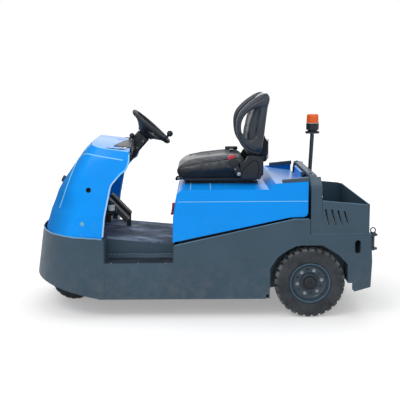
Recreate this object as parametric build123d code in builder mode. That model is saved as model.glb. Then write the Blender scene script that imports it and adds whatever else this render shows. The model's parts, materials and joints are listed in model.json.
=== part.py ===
"""Airport baggage tug, three wheels, in millimetres.

Front towards -X, left side at -Y, +Z up, wheels standing on Z = 0.
"""
import math
import os

from build123d import *

os.makedirs("parts", exist_ok=True)

# Overall sizes
HALF_WIDTH = 470.0
CUT_HALF = HALF_WIDTH + 130.0
NOSE_X = -1089.0
STEP_FRONT_X = -622.0
STEP_REAR_X = -213.0
SKIRT_BOTTOM_Z = 118.0
PANEL = 6.0
TREAD_Z = 335.0
FLOOR_HALF = 300.0
FLOOR_FRONT_Z = 458.0
FLOOR_REAR_Z = 420.0
PANEL_X = -715.0

# Wheels
REAR_AXLE_X = 590.0
REAR_RADIUS = 207.5
REAR_WIDTH = 112.0
REAR_OUTER_Y = HALF_WIDTH - 6.0
REAR_INNER_Y = REAR_OUTER_Y - REAR_WIDTH
HOUSING_Y = REAR_INNER_Y - 14.0
RAIL_Y = HOUSING_Y - 68.0
REAR_RIM_R = 0.578 * REAR_RADIUS
HUB_R = 0.27 * REAR_RADIUS
FRONT_AXLE_X = -867.0
FRONT_RADIUS = 148.0
FRONT_WIDTH = 110.0
FRONT_RIM_R = 84.0
FORK_Y = FRONT_WIDTH / 2 + 11.0

# Hood, hoop and bin
HOOD_HALF = HALF_WIDTH - 15.0
BATTERY_HALF = HOOD_HALF - 45.0
HINGE_X = 571.0
HINGE_Z = 826.0
HOOP_X0 = 587.0
HOOP_X1 = 650.0
HOOP_TOP_Z = 842.0
BIN_X0 = 652.0
BIN_X1 = 930.0
BIN_FLOOR_Z = 506.0

# Steering column
COLUMN_FOOT = (-403.0, 1057.0)
COLUMN_DIR = (0.671, 0.7415)
WHEEL_MAJOR = 140.0
WHEEL_TUBE = 12.5

# Front lamp
LAMP_AT = (-912.0, 0.0, 773.8)

# Tow jaw
JAW_PIN_X = 1055.0
JAW_END_X = 1085.0
JAW_TOP_Z = 409.0
JAW_LOW_Z = 307.0
JAW_PLATE = 12.0
PIN_R = 12.0


def save(piece, name):
    """Label one finished piece and write its STEP file."""
    piece.label = name
    export_step(piece, f"parts/{name}.step")


def block(x0, x1, y0, y1, z0, z1, mode=Mode.ADD):
    """Add or cut a box between two corners in the builder that is open."""
    with Locations(((x0 + x1) / 2, (y0 + y1) / 2, (z0 + z1) / 2)):
        Box(x1 - x0, y1 - y0, z1 - z0, mode=mode)


def plate_xz(points, y0, y1):
    """A prism with an outline in X and Z, from y0 to y1."""
    with BuildPart() as prism:
        with BuildSketch(Plane.XZ.offset(-y0)):
            with BuildLine():
                Polyline(*points, close=True)
            make_face()
        extrude(amount=-(y1 - y0))
    return prism.part


def plate_yz(points, x0, x1):
    """A prism with an outline in Y and Z, from x0 to x1."""
    with BuildPart() as prism:
        with BuildSketch(Plane.YZ.offset(x0)):
            with BuildLine():
                Polyline(*points, close=True)
            make_face()
        extrude(amount=x1 - x0)
    return prism.part


def rounded_front(z, nose, half, start, tail, power):
    """A closed plan outline with straight sides and a rounded nose."""
    points = []
    steps = 16
    for index in range(steps + 1):
        angle = math.pi * index / steps
        reach = abs(math.sin(angle)) ** (2 / power)
        across = abs(math.cos(angle)) ** (2 / power)
        side = -1 if angle < math.pi / 2 else 1
        points.append((start - (start - nose) * reach, side * half * across))
    with BuildSketch(Plane.XY.offset(z)) as outline:
        with BuildLine():
            nose_line = Spline(*points, tangents=[(-1, 0), (1, 0)])
            Line(points[-1], (tail, half))
            Line((tail, half), (tail, -half))
            Line((tail, -half), points[0])
        make_face()
    return outline.sketch


def side_pair(name, make):
    """Save the left piece and its mirrored right piece."""
    left = make()
    save(left, f"{name}_left")
    with BuildPart() as right:
        add(left)
        mirror(about=Plane.XZ, mode=Mode.REPLACE)
    save(right.part, f"{name}_right")


# Joint between the grey bumper and the blue cowl
def belt_z(x):
    return 482.0 + (STEP_FRONT_X - x) * 0.055


# Front bumper, an open shell round the steered wheel
BUMPER_ROWS = (
    {"z": 100.0, "nose": -1103.0, "inset": 0.0},
    {"z": 560.0, "nose": -1033.0, "inset": 0.0},
)


def bumper_solid(inset, tail, extra):
    with BuildPart() as solid:
        for row, lift in zip(BUMPER_ROWS, (-extra, extra)):
            add(rounded_front(row["z"] + lift, row["nose"] + inset, HALF_WIDTH - row["inset"] - inset, STEP_FRONT_X - 68.0, tail, 2.25))
        loft(ruled=True)
    return solid.part


with BuildPart() as front_bumper:
    add(bumper_solid(0, STEP_FRONT_X, 0))
    add(bumper_solid(PANEL, STEP_FRONT_X + 20, 1), mode=Mode.SUBTRACT)
    top_cut = [(-1200, belt_z(-1200)), (-500, belt_z(-500)), (-500, 700), (-1200, 700)]
    add(plate_xz(top_cut, -CUT_HALF, CUT_HALF), mode=Mode.SUBTRACT)
    low_cut = [(-500, SKIRT_BOTTOM_Z), (-650, SKIRT_BOTTOM_Z), (-1250, 259), (-1250, 50), (-500, 50)]
    add(plate_xz(low_cut, -CUT_HALF, CUT_HALF), mode=Mode.SUBTRACT)
save(front_bumper.part, "front_bumper")

# Cowl, a blue shell open to the driver
COWL_ROWS = (
    {"z": 450.0, "nose": -1034.0, "inset": 7.0},
    {"z": 616.0, "nose": -983.0, "inset": 14.0},
    {"z": 745.0, "nose": -925.0, "inset": 30.0},
    {"z": 839.0, "nose": -871.0, "inset": 50.0},
    {"z": 941.0, "nose": -807.0, "inset": 80.0},
    {"z": 1000.0, "nose": -762.0, "inset": 104.0},
    {"z": 1070.0, "nose": -690.0, "inset": 140.0},
)
COWL_REAR = (
    (-628.0, 430.0),
    (-628.0, 486.0),
    (-616.0, 605.0),
    (-604.0, 664.0),
    (-577.0, 792.0),
    (-513.0, 860.0),
    (-486.0, 873.0),
    (-469.0, 922.0),
    (-466.0, 1100.0),
)


def crown_solid(drop, tail):
    """Everything under the arched, slightly falling top of the cowl."""
    side = HALF_WIDTH + 50
    with BuildPart() as under:
        with BuildSketch(Plane.YZ.offset(-1200)):
            with BuildLine():
                ThreePointArc((-side, 966 - drop), (0, 1046 - drop), (side, 966 - drop))
                Polyline((side, 966 - drop), (side, 300), (-side, 300), (-side, 966 - drop))
            make_face()
        extrude(amount=1200 + tail)
    turned = under.part.rotate(Axis((-650, 0, 1046), (0, 1, 0)), 7.0)
    return turned


def cowl_solid(inset, tail, extra):
    with BuildPart() as solid:
        for number, row in enumerate(COWL_ROWS):
            z = row["z"]
            if number == 0:
                z = z - extra
            start = min(row["nose"] + 330.0, -480.0)
            add(rounded_front(z, row["nose"] + inset, HALF_WIDTH - row["inset"] - inset, start, tail, 2.5))
        loft(ruled=True)
        add(crown_solid(inset, -200), mode=Mode.INTERSECT)
    return solid.part


with BuildPart() as cowl:
    add(cowl_solid(0, -440, 0))
    add(cowl_solid(5, -420, 1), mode=Mode.SUBTRACT)
    rear_cut = list(COWL_REAR) + [(-300.0, 1100.0), (-300.0, 430.0)]
    add(plate_xz(rear_cut, -CUT_HALF, CUT_HALF), mode=Mode.SUBTRACT)
    belt_cut = [(-1200, belt_z(-1200)), (-400, belt_z(-400)), (-400, 300), (-1200, 300)]
    add(plate_xz(belt_cut, -CUT_HALF, CUT_HALF), mode=Mode.SUBTRACT)
    block(-560, -440, -78, 78, 900, 1100, mode=Mode.SUBTRACT)
    with Locations(Location(LAMP_AT, (0, -65, 0))):
        Cylinder(18.1, 120, mode=Mode.SUBTRACT)
save(cowl.part, "cowl")

# Steering column shroud along its slanted axis, with the console at its foot
COLUMN_PLANE = Plane(
    origin=(COLUMN_FOOT[0], 0, COLUMN_FOOT[1]),
    x_dir=(0, 1, 0),
    z_dir=(COLUMN_DIR[0], 0, COLUMN_DIR[1]),
)
with BuildPart() as steering_column:
    with BuildSketch(COLUMN_PLANE.offset(-246)):
        RectangleRounded(88, 88, 16)
    extrude(amount=236)
    with BuildSketch(COLUMN_PLANE.offset(-12)):
        Circle(10)
    extrude(amount=52)
    with BuildSketch(COLUMN_PLANE.offset(-170)):
        RectangleRounded(240, 96, 20)
    extrude(amount=26)
    add(plate_xz([(-622, 884), (-618, 862), (-520, 880), (-500, 925), (-540, 940)], -50, 50))
save(steering_column.part, "steering_column")

# Inner panel between the cowl and the footwell
with BuildPart() as inner_panel:
    panel_line = [
        (PANEL_X, FLOOR_FRONT_Z + 7.3),
        (PANEL_X, 700.0),
        (-615.0, 893.0),
        (-611.0, 891.0),
        (PANEL_X + 4, 699.0),
        (PANEL_X + 4, FLOOR_FRONT_Z + 7.3),
    ]
    add(plate_xz(panel_line, -HALF_WIDTH + 86, HALF_WIDTH - 86))
    add(steering_column.part, mode=Mode.SUBTRACT)
save(inner_panel.part, "inner_panel")

# Chassis frame with battery tray, steering neck and rear rails
with BuildPart() as chassis_frame:
    inner = HALF_WIDTH - 16
    panel = HALF_WIDTH - PANEL - 1
    block(-644, 352, -inner, inner, SKIRT_BOTTOM_Z, SKIRT_BOTTOM_Z + 8)
    block(-644, -636, -inner, inner, SKIRT_BOTTOM_Z, 450)
    block(STEP_REAR_X, STEP_REAR_X + 6, -inner, inner, SKIRT_BOTTOM_Z, 441)
    block(344, 352, -panel, panel, SKIRT_BOTTOM_Z, 400)
    block(344, 352, -HOUSING_Y, HOUSING_Y, SKIRT_BOTTOM_Z, 590)
    block(-980, -640, -150, 150, 352, 370)
    for side in (-1, 1):
        block(-700, -640, side * 120 - 6, side * 120 + 6, 300, 352)
        block(350, 880, side * RAIL_Y - 20, side * RAIL_Y + 20, 262, 330)
        block(-636, -213, side * 200 - 5, side * 200 + 5, 126, 400)
    with Locations((FRONT_AXLE_X, 0, 361)):
        Cylinder(36.1, 40, mode=Mode.SUBTRACT)
save(chassis_frame.part, "chassis_frame")

# Opening of the rear wheel arch, as offsets from the axle over the tyre's radius
ARCH_SHAPE = (
    (-1.147, -0.277),
    (-1.142, 0.455),
    (-0.925, 0.778),
    (-0.675, 0.961),
    (-0.424, 1.087),
    (-0.289, 1.111),
    (0.333, 1.111),
    (0.805, 0.817),
    (1.046, 0.552),
    (1.060, 0.017),
)
ARCH_LINE = tuple(
    (REAR_AXLE_X + across * REAR_RADIUS, REAR_RADIUS * (1 + up)) for across, up in ARCH_SHAPE
)

# Side skirts with step opening and wheel arch
SKIRT_LINE = (
    (STEP_FRONT_X, SKIRT_BOTTOM_Z),
    (ARCH_LINE[0][0], SKIRT_BOTTOM_Z),
    *ARCH_LINE[1:],
    (ARCH_LINE[-1][0] + 15.0, 197.0),
    (ARCH_LINE[-1][0] + 20.0, 177.0),
    (ARCH_LINE[-1][0] + 40.0, 159.0),
    (943.0, 186.0),
    (949.0, 340.0),
    (940.0, 504.0),
    (584.0, 504.0),
    (584.0, 590.0),
    (578.0, 595.0),
    (489.0, 594.0),
    (-208.0, 441.0),
    (STEP_REAR_X, 436.0),
    (STEP_REAR_X, TREAD_Z),
    (STEP_FRONT_X, TREAD_Z),
)


def side_body():
    """One side skirt with its slot, step tread, riser and small kick corner."""
    riser = [
        (STEP_FRONT_X, TREAD_Z - 8),
        (STEP_REAR_X, TREAD_Z - 8),
        (STEP_REAR_X, FLOOR_REAR_Z - 8),
        (STEP_FRONT_X, FLOOR_FRONT_Z - 8),
    ]
    foot = [(10, -5), (0, -5), (0, 19), (6, 19), (30, 0)]
    foot = [(-FLOOR_HALF - out, TREAD_Z + up) for out, up in foot]
    skin = HALF_WIDTH - 5
    top = ARCH_LINE[5][1] + 8
    back = ARCH_LINE[-1][0] + 6
    band = [(352.0, 150.0), (352.0, top), (back, top), (back, ARCH_LINE[-1][1])]
    void = [(330, 100), (330, 140), *ARCH_LINE, (back + 20, ARCH_LINE[-1][1]), (back + 20, 100)]
    with BuildPart() as side:
        add(plate_xz(SKIRT_LINE, -HALF_WIDTH, -HALF_WIDTH + PANEL))
        block(STEP_FRONT_X, STEP_REAR_X, -skin, -FLOOR_HALF, TREAD_Z - 8, TREAD_Z)
        block(STEP_FRONT_X, STEP_FRONT_X + 5, -skin, -FLOOR_HALF - 2, TREAD_Z - 8, 478)
        add(plate_xz(riser, -FLOOR_HALF - 6, -FLOOR_HALF))
        add(plate_yz(foot, STEP_FRONT_X, STEP_REAR_X))
        add(plate_xz(band, -skin, -HOUSING_Y))
        add(plate_xz(void, -HALF_WIDTH - 10, -HOUSING_Y - 6), mode=Mode.SUBTRACT)
        with Locations(Location((REAR_AXLE_X, -HOUSING_Y, REAR_RADIUS), (90, 0, 0))):
            Cylinder(50, 30, mode=Mode.SUBTRACT)
        with BuildSketch(Plane.XZ.offset(HALF_WIDTH - 10)):
            with Locations((863, 429)):
                SlotOverall(79, 36, rotation=90)
        extrude(amount=20, mode=Mode.SUBTRACT)
    return side.part


side_pair("side_body", side_body)

# Floor plate falling towards the seat
with BuildPart() as floor_plate:
    mat = [
        (PANEL_X, FLOOR_FRONT_Z + 1),
        (-635.0, FLOOR_FRONT_Z - 6),
        (STEP_REAR_X, FLOOR_REAR_Z - 7.9),
        (STEP_REAR_X, FLOOR_REAR_Z),
        (-635.0, FLOOR_FRONT_Z),
        (PANEL_X, FLOOR_FRONT_Z + 7.2),
    ]
    add(plate_xz(mat, -FLOOR_HALF - 2, FLOOR_HALF + 2))
save(floor_plate.part, "floor_plate")


# Rear counterweight between the side skirts
with BuildPart() as counterweight:
    add(
        plate_xz(
            [(880, 165), (930, 180), (943, 190), (949, 340), (940, 504), (880, 504)],
            -HALF_WIDTH + PANEL,
            HALF_WIDTH - PANEL,
        )
    )
save(counterweight.part, "counterweight")

# Rear axle with motor and gear case
with BuildPart() as rear_axle:
    with Locations(Location((REAR_AXLE_X, 0, REAR_RADIUS), (90, 0, 0))):
        Cylinder(42, 2 * HOUSING_Y - 10)
        Cylinder(92, 210)
        Cylinder(20, 2 * (REAR_OUTER_Y - 30))
    with Locations(Location((REAR_AXLE_X - 110, 0, REAR_RADIUS + 20), (0, 90, 0))):
        Cylinder(70, 200)
    for side in (-1, 1):
        block(REAR_AXLE_X - 30, REAR_AXLE_X + 30, side * RAIL_Y - 22, side * RAIL_Y + 22, REAR_RADIUS, 262)
save(rear_axle.part, "rear_axle")


# Rear rims and tyres, left wheel first
def rear_rim():
    flange = REAR_RIM_R
    outer = -REAR_OUTER_Y
    with BuildPart() as rim:
        with BuildSketch(Plane.YZ):
            with BuildLine():
                Polyline(
                    (outer + 8, flange - 1),
                    (outer + 8, flange - 9),
                    (outer + 16, flange - 12),
                    (outer + 40, flange - 20),
                    (outer + 46, flange - 28),
                    (outer + 46, HUB_R),
                    (outer + 26, HUB_R - 6),
                    (outer + 26, 20.05),
                    (outer + 70, 20.05),
                    (outer + 70, flange - 28),
                    (outer + REAR_WIDTH - 10, flange - 14),
                    (outer + REAR_WIDTH - 4, flange - 10),
                    (outer + REAR_WIDTH - 4, flange - 1),
                    close=True,
                )
            make_face()
        revolve(axis=Axis.Y)
    return rim.part.moved(Location((REAR_AXLE_X, 0, REAR_RADIUS)))


def rear_tyre():
    outer = -REAR_OUTER_Y
    low = REAR_RIM_R - 1
    with BuildPart() as tyre:
        with BuildSketch(Plane.YZ):
            with BuildLine():
                Polyline(
                    (outer + 10, low),
                    (outer, low + 25),
                    (outer, REAR_RADIUS - 22),
                    (outer + 10, REAR_RADIUS - 6),
                    (outer + 22, REAR_RADIUS),
                    (outer + REAR_WIDTH - 22, REAR_RADIUS),
                    (outer + REAR_WIDTH - 10, REAR_RADIUS - 6),
                    (outer + REAR_WIDTH, REAR_RADIUS - 22),
                    (outer + REAR_WIDTH, low + 25),
                    (outer + REAR_WIDTH - 10, low),
                    close=True,
                )
            make_face()
        revolve(axis=Axis.Y)
    return tyre.part.moved(Location((REAR_AXLE_X, 0, REAR_RADIUS)))


side_pair("rear_rim", rear_rim)
side_pair("rear_tyre", rear_tyre)

# Front steered wheel
with BuildPart() as front_rim:
    half = FRONT_WIDTH / 2
    with BuildSketch(Plane.YZ):
        with BuildLine():
            Polyline(
                (8 - half, FRONT_RIM_R - 1),
                (8 - half, FRONT_RIM_R - 8),
                (-14, 60),
                (-14, 30),
                (6 - half, 28),
                (6 - half, 10.05),
                (half - 6, 10.05),
                (half - 6, 28),
                (14, 30),
                (14, 60),
                (half - 8, FRONT_RIM_R - 8),
                (half - 8, FRONT_RIM_R - 1),
                close=True,
            )
        make_face()
    revolve(axis=Axis.Y)
save(front_rim.part.moved(Location((FRONT_AXLE_X, 0, FRONT_RADIUS))), "front_rim")

with BuildPart() as front_tyre:
    half = FRONT_WIDTH / 2
    with BuildSketch(Plane.YZ):
        with BuildLine():
            Polyline(
                (-half + 6, FRONT_RIM_R - 1),
                (-half, FRONT_RIM_R + 14),
                (-half, FRONT_RADIUS - 16),
                (-half + 8, FRONT_RADIUS - 4),
                (-half + 18, FRONT_RADIUS),
                (half - 18, FRONT_RADIUS),
                (half - 8, FRONT_RADIUS - 4),
                (half, FRONT_RADIUS - 16),
                (half, FRONT_RIM_R + 14),
                (half - 6, FRONT_RIM_R - 1),
                close=True,
            )
        make_face()
    revolve(axis=Axis.Y)
save(front_tyre.part.moved(Location((FRONT_AXLE_X, 0, FRONT_RADIUS))), "front_tyre")

# Steering fork with its pivot post and axle pin
with BuildPart() as steer_fork:
    for side in (-1, 1):
        leg = [(-36, 118), (36, 118), (44, 330), (-44, 330)]
        leg = [(FRONT_AXLE_X + x, z) for x, z in leg]
        add(plate_xz(leg, side * FORK_Y - 6, side * FORK_Y + 6))
    block(FRONT_AXLE_X - 60, FRONT_AXLE_X + 60, -FORK_Y - 6, FORK_Y + 6, 316, 332)
    with Locations((FRONT_AXLE_X, 0, 371)):
        Cylinder(36, 80)
    with Locations((FRONT_AXLE_X, 0, 415)):
        Cylinder(50, 14)
    with Locations(Location((FRONT_AXLE_X, 0, FRONT_RADIUS), (90, 0, 0))):
        Cylinder(10, 2 * FORK_Y + 12)
save(steer_fork.part, "steer_fork")

# Hood over the battery
HOOD_LINE = (
    (-219.0, 456.0),
    (-215.0, 601.0),
    (-200.0, 696.0),
    (-189.0, 743.0),
    (-173.0, 760.0),
    (-158.0, 767.0),
    (343.0, 767.0),
    (383.0, 801.0),
    (572.0, 811.0),
    (572.0, 629.0),
    (565.0, 611.0),
    (547.0, 604.0),
    (468.0, 602.0),
)
HOOD_CORE = (
    (-214.0, 440.0),
    (-210.0, 601.0),
    (-195.0, 696.0),
    (-185.0, 741.0),
    (-170.0, 757.0),
    (-156.0, 763.0),
    (345.0, 763.0),
    (385.0, 793.0),
    (568.0, 768.0),
    (568.0, 590.0),
    (547.0, 580.0),
)
with BuildPart() as battery_hood:
    add(plate_xz(HOOD_LINE, -HOOD_HALF, HOOD_HALF))
    front = battery_hood.faces().filter_by(lambda face: face.normal_at().X < -0.9)
    corners = front.edges().filter_by_position(Axis.Z, 440, 760)
    fillet([edge for edge in corners if abs(abs(edge.center().Y) - HOOD_HALF) < 1], 14)
    add(plate_xz(HOOD_CORE, -HOOD_HALF + 4, HOOD_HALF - 4), mode=Mode.SUBTRACT)
    add(plate_xz([(392, 900), (392, 797), (580, 771), (580, 900)], -HOOD_HALF + 6, HOOD_HALF - 6), mode=Mode.SUBTRACT)
    block(562, HINGE_X, -160, 160, 768, HINGE_Z)
    with Locations(Location((HINGE_X, 0, HINGE_Z), (90, 0, 0))):
        Cylinder(8, 320)
        Cylinder(4.05, 400, mode=Mode.SUBTRACT)
save(battery_hood.part, "battery_hood")


def hood_rail():
    return plate_xz([(422, 803.2), (575, 811.4), (575, 837), (422, 822)], -HOOD_HALF, -HOOD_HALF + 30)


side_pair("hood_rail", hood_rail)

# Battery
with BuildPart() as battery_block:
    block(-186, 336, -BATTERY_HALF, BATTERY_HALF, SKIRT_BOTTOM_Z + 8, 620)
save(battery_block.part, "battery_block")

# Hoop behind the seat
with BuildPart() as hoop_frame:
    outline = [(0, 504), (0, 782), (82, HOOP_TOP_Z)]
    outline = [(HALF_WIDTH - inset, z) for inset, z in outline]
    outline += [(-y, z) for y, z in reversed(outline)]
    inner = [(12, 400), (12, 776), (86, HOOP_TOP_Z - 14)]
    inner = [(HALF_WIDTH - inset, z) for inset, z in inner]
    inner += [(-y, z) for y, z in reversed(inner)]
    plate = [(10, 504), (10, 778), (85, HOOP_TOP_Z - 13)]
    plate = [(HALF_WIDTH - inset, z) for inset, z in plate]
    plate += [(-y, z) for y, z in reversed(plate)]
    add(plate_yz(outline, HOOP_X0, HOOP_X1))
    corners = hoop_frame.edges().filter_by(Axis.X)
    fillet(corners.filter_by_position(Axis.Z, 700, 800) + corners.filter_by_position(Axis.Z, 800, 900), 46)
    with BuildPart(mode=Mode.PRIVATE) as opening:
        add(plate_yz(inner, HOOP_X0 - 1, HOOP_X1 + 1))
        corners = opening.edges().filter_by(Axis.X)
        fillet(corners.filter_by_position(Axis.Z, 700, 800) + corners.filter_by_position(Axis.Z, 800, 900), 34)
    add(opening.part, mode=Mode.SUBTRACT)
    block(628, 700, -HALF_WIDTH + 70, HALF_WIDTH - 70, 790, 900, mode=Mode.SUBTRACT)
    add(plate_yz(plate, 604, 610))
    with Locations(Location((HINGE_X, 0, HINGE_Z), (90, 0, 0))):
        Cylinder(4, 360)
    for side in (-1, 1):
        block(HINGE_X - 8, HOOP_X0 + 1, side * 172 - 7, side * 172 + 7, HINGE_Z - 8, HINGE_Z + 8)
save(hoop_frame.part, "hoop_frame")

# Cargo bin with four slanted slits in each side
LOUVRES = (
    {"x0": 671.0, "z0": 652.0, "x1": 690.0, "z1": 562.0},
    {"x0": 707.0, "z0": 650.0, "x1": 730.0, "z1": 560.0},
    {"x0": 743.0, "z0": 645.0, "x1": 766.0, "z1": 560.0},
    {"x0": 780.0, "z0": 640.0, "x1": 799.0, "z1": 572.0},
)
with BuildPart() as cargo_bin:
    bin_line = [(610, BIN_FLOOR_Z), (BIN_X1, BIN_FLOOR_Z), (BIN_X1, 673), (650, 699), (610, 699)]
    add(plate_xz(bin_line, -HALF_WIDTH, HALF_WIDTH))
    block(575, BIN_X0, -HALF_WIDTH - 50, HALF_WIDTH + 50, 500, 900, mode=Mode.SUBTRACT)
    rear = cargo_bin.edges().filter_by(Axis.Z).filter_by_position(Axis.X, BIN_X1 - 1, BIN_X1 + 1)
    fillet(rear, 14)
    core = [(500, BIN_FLOOR_Z + 5), (BIN_X1 - 5, BIN_FLOOR_Z + 5), (BIN_X1 - 5, 900), (500, 900)]
    add(plate_xz(core, -HALF_WIDTH + 5, HALF_WIDTH - 5), mode=Mode.SUBTRACT)
    block(610, BIN_X0, -HALF_WIDTH + 12, HALF_WIDTH - 12, BIN_FLOOR_Z, BIN_FLOOR_Z + 5)
    for slit in LOUVRES:
        run = math.degrees(math.atan2(slit["x1"] - slit["x0"], slit["z0"] - slit["z1"]))
        reach = math.hypot(slit["x1"] - slit["x0"], slit["z0"] - slit["z1"])
        with BuildSketch(Plane.XZ.offset(-HALF_WIDTH - 20)):
            with Locations(((slit["x0"] + slit["x1"]) / 2, (slit["z0"] + slit["z1"]) / 2)):
                SlotOverall(reach, 9, rotation=90 + run)
        extrude(amount=2 * HALF_WIDTH + 40, mode=Mode.SUBTRACT)
save(cargo_bin.part, "cargo_bin")

# Steering wheel with dished spokes
WHEEL_PLANE = COLUMN_PLANE.offset(65)

# Dish under the rim, as radius and depth
DISH_LINE = (
    (0, 64),
    (52, 64),
    (62, 50),
    (WHEEL_MAJOR - 6, 6),
    (WHEEL_MAJOR, -4),
    (WHEEL_MAJOR - 12, 0),
    (60, 38),
    (46, 30),
    (0, 26),
)
with BuildPart() as steering_wheel:
    with BuildSketch(Plane(origin=WHEEL_PLANE.origin, x_dir=WHEEL_PLANE.x_dir, z_dir=WHEEL_PLANE.y_dir)):
        with Locations((WHEEL_MAJOR, 0)):
            Circle(WHEEL_TUBE)
    revolve(axis=Axis(WHEEL_PLANE.origin, WHEEL_PLANE.z_dir))
    with BuildSketch(Plane(origin=WHEEL_PLANE.origin, x_dir=WHEEL_PLANE.x_dir, z_dir=WHEEL_PLANE.y_dir)):
        with BuildLine():
            Polyline(*DISH_LINE, close=True)
        make_face()
    revolve(axis=Axis(WHEEL_PLANE.origin, WHEEL_PLANE.z_dir))
    for turn in (90, 210, 330):
        angle = math.radians(turn)
        middle = WHEEL_PLANE.from_local_coords((92 * math.cos(angle), 92 * math.sin(angle), -80))
        along = WHEEL_PLANE.from_local_coords((math.cos(angle), math.sin(angle), 0)) - WHEEL_PLANE.origin
        with BuildSketch(Plane(origin=middle, x_dir=along, z_dir=WHEEL_PLANE.z_dir)):
            SlotOverall(96, 46, rotation=90)
        extrude(amount=100, mode=Mode.SUBTRACT)
    with BuildSketch(COLUMN_PLANE.offset(-4)):
        Circle(10.05)
    extrude(amount=44, mode=Mode.SUBTRACT)
save(steering_wheel.part, "steering_wheel")

with BuildPart() as steering_knob:
    angle = math.radians(-35)
    place = WHEEL_PLANE.from_local_coords(
        (WHEEL_MAJOR * math.sin(angle), -WHEEL_MAJOR * math.cos(angle), WHEEL_TUBE + 0.05)
    )
    with BuildSketch(Plane(origin=place, x_dir=(0, 1, 0), z_dir=WHEEL_PLANE.z_dir)):
        Circle(8)
    extrude(amount=24)
    knob_centre = place + WHEEL_PLANE.z_dir * 38
    with Locations(knob_centre):
        Sphere(19)
    add(steering_wheel.part, mode=Mode.SUBTRACT)
save(steering_knob.part, "steering_knob")

with BuildPart() as direction_lever:
    start = COLUMN_PLANE.from_local_coords((-62, 40, -160))
    end = COLUMN_PLANE.from_local_coords((-64, 53, -52))
    with BuildLine():
        stalk = Line(start, end)
    with BuildSketch(Plane(origin=stalk @ 0, z_dir=stalk % 0)):
        Circle(5)
    sweep(path=stalk)
    with Locations(end):
        Sphere(16)
    add(steering_column.part, mode=Mode.SUBTRACT)
save(direction_lever.part, "direction_lever")

# Pedals, their bracket and the brake cylinder
with BuildPart() as pedal_bracket:
    block(PANEL_X + 4, -600, -130, 170, 560, 600)
    block(-636, -604, -150, -120, 575, 598)
    block(PANEL_X + 4, -624, -40, 60, 500, 562)
    with Locations(Location((-602, -160, 590), (0, 80, 0))):
        Cylinder(16, 60)
save(pedal_bracket.part, "pedal_bracket")


def pedal(y0, y1):
    with BuildPart() as lever:
        add(plate_xz([(-628, 665), (-503, 534), (-512, 525), (-637, 656)], y0, y1))
        web = [(-600, 622), (-600, 570), (-568, 560), (-538, 556)]
        add(plate_xz(web, (y0 + y1) / 2 - 14, (y0 + y1) / 2 + 14))
        for y in (y0, y1):
            edge = [(-628, 665), (-503, 534), (-522, 514), (-600, 602), (-640, 650)]
            add(plate_xz(edge, y - 3, y + 3))
    return lever.part


save(pedal(-120, -50), "brake_pedal")
with BuildPart() as accelerator_pedal:
    add(pedal(70, 150))
    add(plate_xz([(-534, 552), (-508, 526), (-510, 447.2), (-536, 449.5)], 90, 130))
save(accelerator_pedal.part, "accelerator_pedal")

# Seat rails on the hood, joined by two cross straps
with BuildPart() as seat_rails:
    for side in (-1, 1):
        block(-150, 300, side * 150 - 20, side * 150 + 20, 767, 776)
    for x in (-120, 260):
        block(x - 15, x + 15, -150, 150, 767, 771)
save(seat_rails.part, "seat_rails")

# Seat frame, cushion and back
with BuildPart() as seat_frame:
    for side in (-1, 1):
        block(-120, 270, side * 150 - 14, side * 150 + 14, 776.1, 790)
    block(-150, 290, -205, 205, 788, 802)
    bar = [(-205, 777), (-205, 790), (-150, 796), (-150, 788)]
    add(plate_xz(bar, -120, -60))
    add(plate_xz([(227, 800), (308, 800), (331, 822), (331, 870), (227, 870)], -204, 204))
    block(300, 331, -204, 204, 860, 934)
save(seat_frame.part, "seat_frame")

with BuildPart() as seat_cushion:
    cushion_line = [
        (-168, 810),
        (-188, 828),
        (-196, 850),
        (-190, 874),
        (-168, 892),
        (-130, 904),
        (-30, 921),
        (95, 934),
        (205, 936),
        (221, 918),
        (221, 802.1),
        (-140, 802.1),
    ]
    add(plate_xz(cushion_line, -228, 228))
    fillet(seat_cushion.edges().filter_by(Axis.Y, reverse=True).filter_by_position(Axis.Z, 804, 960), 14)
save(seat_cushion.part, "seat_cushion")

with BuildPart() as seat_backrest:
    back_line = [
        (228, 944),
        (224, 1000),
        (232, 1080),
        (250, 1160),
        (275, 1230),
        (305, 1288),
        (340, 1316),
        (352, 1318),
        (367, 1290),
        (357, 1240),
        (346, 1150),
        (333, 1045),
        (318, 975),
        (306, 934),
        (240, 934),
    ]
    add(plate_xz(back_line, -196, 196))
save(seat_backrest.part, "seat_backrest")


WING_OUTER = (
    (307.0, 941.0),
    (258.0, 951.0),
    (220.0, 973.0),
    (194.0, 1002.0),
    (174.0, 1039.0),
    (165.0, 1083.0),
    (162.0, 1125.0),
    (166.0, 1163.0),
    (180.0, 1198.0),
    (206.0, 1230.0),
    (241.0, 1262.0),
    (280.0, 1289.0),
    (322.0, 1311.0),
    (350.0, 1318.0),
)
WING_REAR = ((367.0, 1290.0), (357.0, 1240.0), (346.0, 1150.0), (333.0, 1045.0), (318.0, 975.0), (307.0, 941.0))
WING_WINDOW = (
    (200.0, 1151.0),
    (226.0, 1189.0),
    (262.0, 1215.0),
    (298.0, 1228.0),
    (295.0, 1147.0),
    (286.0, 1082.0),
    (268.0, 1042.0),
    (243.0, 1034.0),
    (216.0, 1051.0),
    (198.0, 1079.0),
    (193.0, 1111.0),
)


def seat_wing():
    """One looped side wing of the seat back."""
    with BuildPart() as wing:
        with BuildSketch(Plane.XZ.offset(196)):
            with BuildLine():
                Spline(*WING_OUTER)
                Line(WING_OUTER[-1], WING_REAR[0])
                Polyline(*WING_REAR)
            make_face()
            with BuildLine():
                Spline(*WING_WINDOW, periodic=True)
            make_face(mode=Mode.SUBTRACT)
        extrude(amount=40)
    return wing.part


side_pair("seat_wing", seat_wing)


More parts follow.
